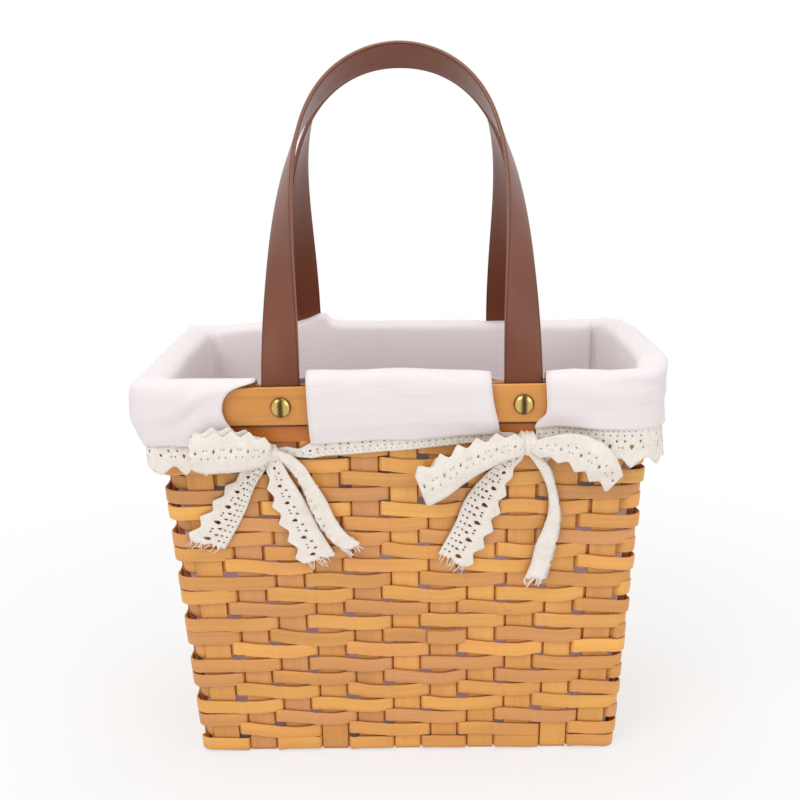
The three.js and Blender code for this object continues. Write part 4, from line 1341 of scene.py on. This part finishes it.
RIGHT_BOW = {
    "left_loop": dict(
        straight=[(58, 164.6, 8), (48, 162.2, 9.6), (38.8, 158, 11), (30.2, 152.6, 12),
            (20, 144.9, 12.2), (11.3, 140.2, 9.5), (13.5, 143, 5.8), (27, 149.5, 5.2), (42, 157.5, 5.2),
            (58.5, 167, 5.2)],
        teeth=[(58.5, 174.6, 8), (49.5, 177.2, 9.4), (38.5, 175.6, 11), (26.4, 172, 12),
            (15.9, 166.2, 11.8), (4.8, 158.8, 9), (9.5, 160.5, 5.8), (24, 166.5, 5.2), (42, 170.5, 5.2),
            (58.5, 170.5, 5.2)],
        crown=1.4, gather=1.15, flatten=0.7),
    "right_loop": dict(
        straight=[(61.5, 171.6, 7.6), (68, 174.2, 9.4), (77.7, 176.7, 10.8), (89.1, 175.2, 11.4),
            (99.3, 168.4, 11), (105.6, 154.5, 8.6), (103, 161, 5.8), (93, 170, 5.4), (78, 172.5, 5.2),
            (61.5, 170, 5.2)],
        teeth=[(61.5, 165.4, 7.4), (67.2, 163.2, 9), (75.3, 161.1, 10.6), (83.9, 156.1, 11.4),
            (91.5, 150.4, 11), (98.6, 146.3, 8.6), (98.5, 151.5, 5.8), (88, 159.5, 5.4),
            (76, 165.5, 5.2), (61.5, 167.5, 5.2)],
        crown=1.2),
    "tail": dict(
        straight=[(56.5, 166.5, 5.4), (45.5, 159.5, 4.8), (37.3, 151.3, 4), (30.5, 142, 3.5),
            (25.1, 128.7, 3.4), (16.1, 111.5, 4.2)],
        teeth=[(60, 166, 5.4), (55, 157.5, 4.8), (51.5, 147.5, 4), (48, 135.4, 3.6), (42, 119.5, 3.5),
            (31.4, 102.7, 4.4)],
        frayed=True, pattern=tail_lace),
    "thin_tail": dict(
        straight=[(58.8, 167, 6.6), (65, 158.2, 6), (69.8, 147.5, 5.6), (70.8, 135.3, 5.4),
            (68.6, 127, 5.4), (64.6, 116.7, 5.4), (62.6, 107.2, 5.4), (58.9, 98.2, 5.8)],
        teeth=[(63.4, 167, 6.6), (70.6, 159.2, 6.2), (74.6, 146.6, 6.2), (76.8, 133.4, 6.2),
            (76.6, 125, 6), (75, 116, 5.8), (73, 107, 5.6), (70.2, 97.8, 5.8)],
        frayed=True, folds=3),
}


# What a bow's ribbon is unless it says otherwise. crown is how far its middle stands out of
# its edges, gather how much longer it is than they are, and flatten how its teeth curl
PLAIN_RIBBON = dict(crown=0.5, gather=1.0, folds=1, flatten=0.65, frayed=False, pattern=None)
# Each knot's middle (x, z), half its width and height, its depth, creases and seed
KNOTS = {"left": ((-64.4, 166.8), 4.2, 4.3, 5.0, 2.5, 3),
         "right": ((60.1, 169.9), 4.9, 6.2, 6.0, 3, 4)}
KNOT_FOOT = 3.4
KNOT_GRID = (22, 34)
KNOT_TURN = 115


def knot(name, centre, half_x, half_z, depth, wraps, seed, replaced):
    """The ribbon's turn round the middle of a bow: a short band, gathered into creases."""
    turn = np.linspace(-KNOT_TURN, KNOT_TURN, KNOT_GRID[0])[:, None] * math.pi / 180
    across = np.linspace(-1, 1, KNOT_GRID[1])[None, :]
    creases = 0.5 + 0.5 * np.cos(wraps * math.pi * (across + 0.08 * np.sin(2 * turn)))
    ends = np.sqrt(np.clip(1 - 0.62 * across**4, 0, 1))
    swell = ends * (0.9 + 0.1 * creases + 0.05 * drift(across * 3 + turn, 0.8, seed))
    x = centre[0] + half_x * across * (0.84 + 0.16 * np.cos(turn)) + 0.3 * np.sin(3 * turn)
    z = centre[1] + half_z * np.sin(turn) * swell
    off = KNOT_FOOT + depth * np.maximum(np.cos(turn), -0.2) * swell
    points = on_front(x, z, off)
    grain = np.stack(np.broadcast_arrays(across * half_x * MM, turn * half_z * MM, float(seed)), -1)
    piece = make_piece(name, points.reshape(-1, 3), grid_faces(*KNOT_GRID), lace_cotton,
                       grain.reshape(-1, 3))
    thicken(piece, LACE_THICKNESS)
    in_basket(piece, "lace_cotton", replaced)
    return piece


def tie_bows(where, turned):
    replaced = f"{where}_lace_with_bows"
    made = []
    for hand, bow in (("left", LEFT_BOW), ("right", RIGHT_BOW)):
        for k, (part, shape) in enumerate(bow.items()):
            seed = 20 + k + 10 * (hand == "right")
            shape = PLAIN_RIBBON | shape
            edges = shape["straight"], shape["teeth"]
            place = between_edges(*edges, seed, shape["crown"], shape["folds"], shape["flatten"])
            frayed = shape["frayed"]
            pattern = shape["pattern"] or (strip_lace if frayed else loop_lace)
            made.append(lace_ribbon(f"{where}_{hand}_bow_{part}", place,
                                    edge_length(*edges) * shape["gather"],
                                    replaced, pattern, frayed, seed))
    for hand, shape in KNOTS.items():
        made.append(knot(f"{where}_{hand}_bow_knot", *shape, replaced))
    if turned:
        for piece in made:
            piece.data.transform(HALF_TURN)


for where, turned in SIDES:
    tie_bows(where, turned)

# Camera, at the photograph's viewing angle

CAMERA_PLACE = (6.03, -650.47, 329.05)
CAMERA_YAW = math.radians(0.70)
CAMERA_PITCH = math.radians(13.36)
CAMERA_ROLL = math.radians(-0.94)
# The lens's focal length over the picture's width
FOCAL_SHARE = 1237.05 / 800


def add_camera():
    data = bpy.data.cameras.new("camera")
    data.sensor_width = 36.0
    data.lens = FOCAL_SHARE * data.sensor_width
    data.clip_start = 0.01
    camera = link_object("camera", data)
    camera.matrix_world = (Matrix.Translation(Vector(CAMERA_PLACE) * MM)
                           @ Matrix.Rotation(CAMERA_YAW, 4, "Z")
                           @ Matrix.Rotation(math.pi / 2 - CAMERA_PITCH, 4, "X")
                           @ Matrix.Rotation(CAMERA_ROLL, 4, "Z"))
    bpy.context.scene.camera = camera


# Light. Each lamp has a name, a place, a target height, a size and a power, in metres and watts

LAMPS = (("key", (-0.55, -0.85, 1.2), 0.12, 0.9, 5.8),
         ("fill", (0.9, -0.8, 0.7), 0.12, 0.9, 2.1),
         ("overhead", (0.0, 0.1, 1.5), 0.1, 0.8, 5.2))
# The white background shows at full strength and lights the basket with less
WORLD_LIGHT = 0.58
FLOOR_HALF = 6.0
# The floor's shadows are pale, and fade out between two distances from the basket
FLOOR_FADE = (0.16, 0.5)
FLOOR_GLOW = 0.65


def add_lamp(name, place, target_height, size, power):
    data = bpy.data.lights.new(name, "AREA")
    data.shape = "DISK"
    data.size = size
    data.energy = power
    lamp = link_object(name, data)
    lamp.location = place
    lamp.rotation_mode = "QUATERNION"
    towards = Vector((0, 0, target_height)) - Vector(place)
    lamp.rotation_quaternion = towards.to_track_quat("-Z", "Y")


def add_world():
    world = bpy.data.worlds.new("studio")
    bpy.context.scene.world = world
    n = Nodes(world)
    fill(n.tree.nodes["Background"],
         {"Color": rgba(1.0), "Strength": n.between(n.seen(), 0.0, 1.0, WORLD_LIGHT)})


def add_floor():
    """A pale floor that keeps the shadow near the basket and fades to the white background."""
    mesh = bpy.data.meshes.new("floor")
    corners = [(x * FLOOR_HALF, y * FLOOR_HALF, 0) for x, y in ((-1, -1), (1, -1), (1, 1), (-1, 1))]
    mesh.from_pydata(corners, [], [(0, 1, 2, 3)])
    n = Nodes("floor")
    fill(n.shader, {"Base Color": rgba(0.93), "Roughness": 0.9})
    lit = n.shader.outputs["BSDF"]
    away = n.add("VectorMath", "Value", {0: n.place()}, operation="LENGTH")
    fade = n.between(away, *FLOOR_FADE, interpolation_type="SMOOTHSTEP")
    glow = n.add("Emission", "Emission", {"Color": rgba(1.0), "Strength": 1.0})
    shown = n.blend(n.scaled(fade, 1 - FLOOR_GLOW, FLOOR_GLOW), lit, glow)
    n.show(n.blend(n.seen(), lit, shown))
    mesh.materials.append(n.owner)
    link_object("floor", mesh)


add_camera()
add_world()
add_floor()
for lamp in LAMPS:
    add_lamp(*lamp)
bpy.context.scene.view_settings.view_transform = "Standard"
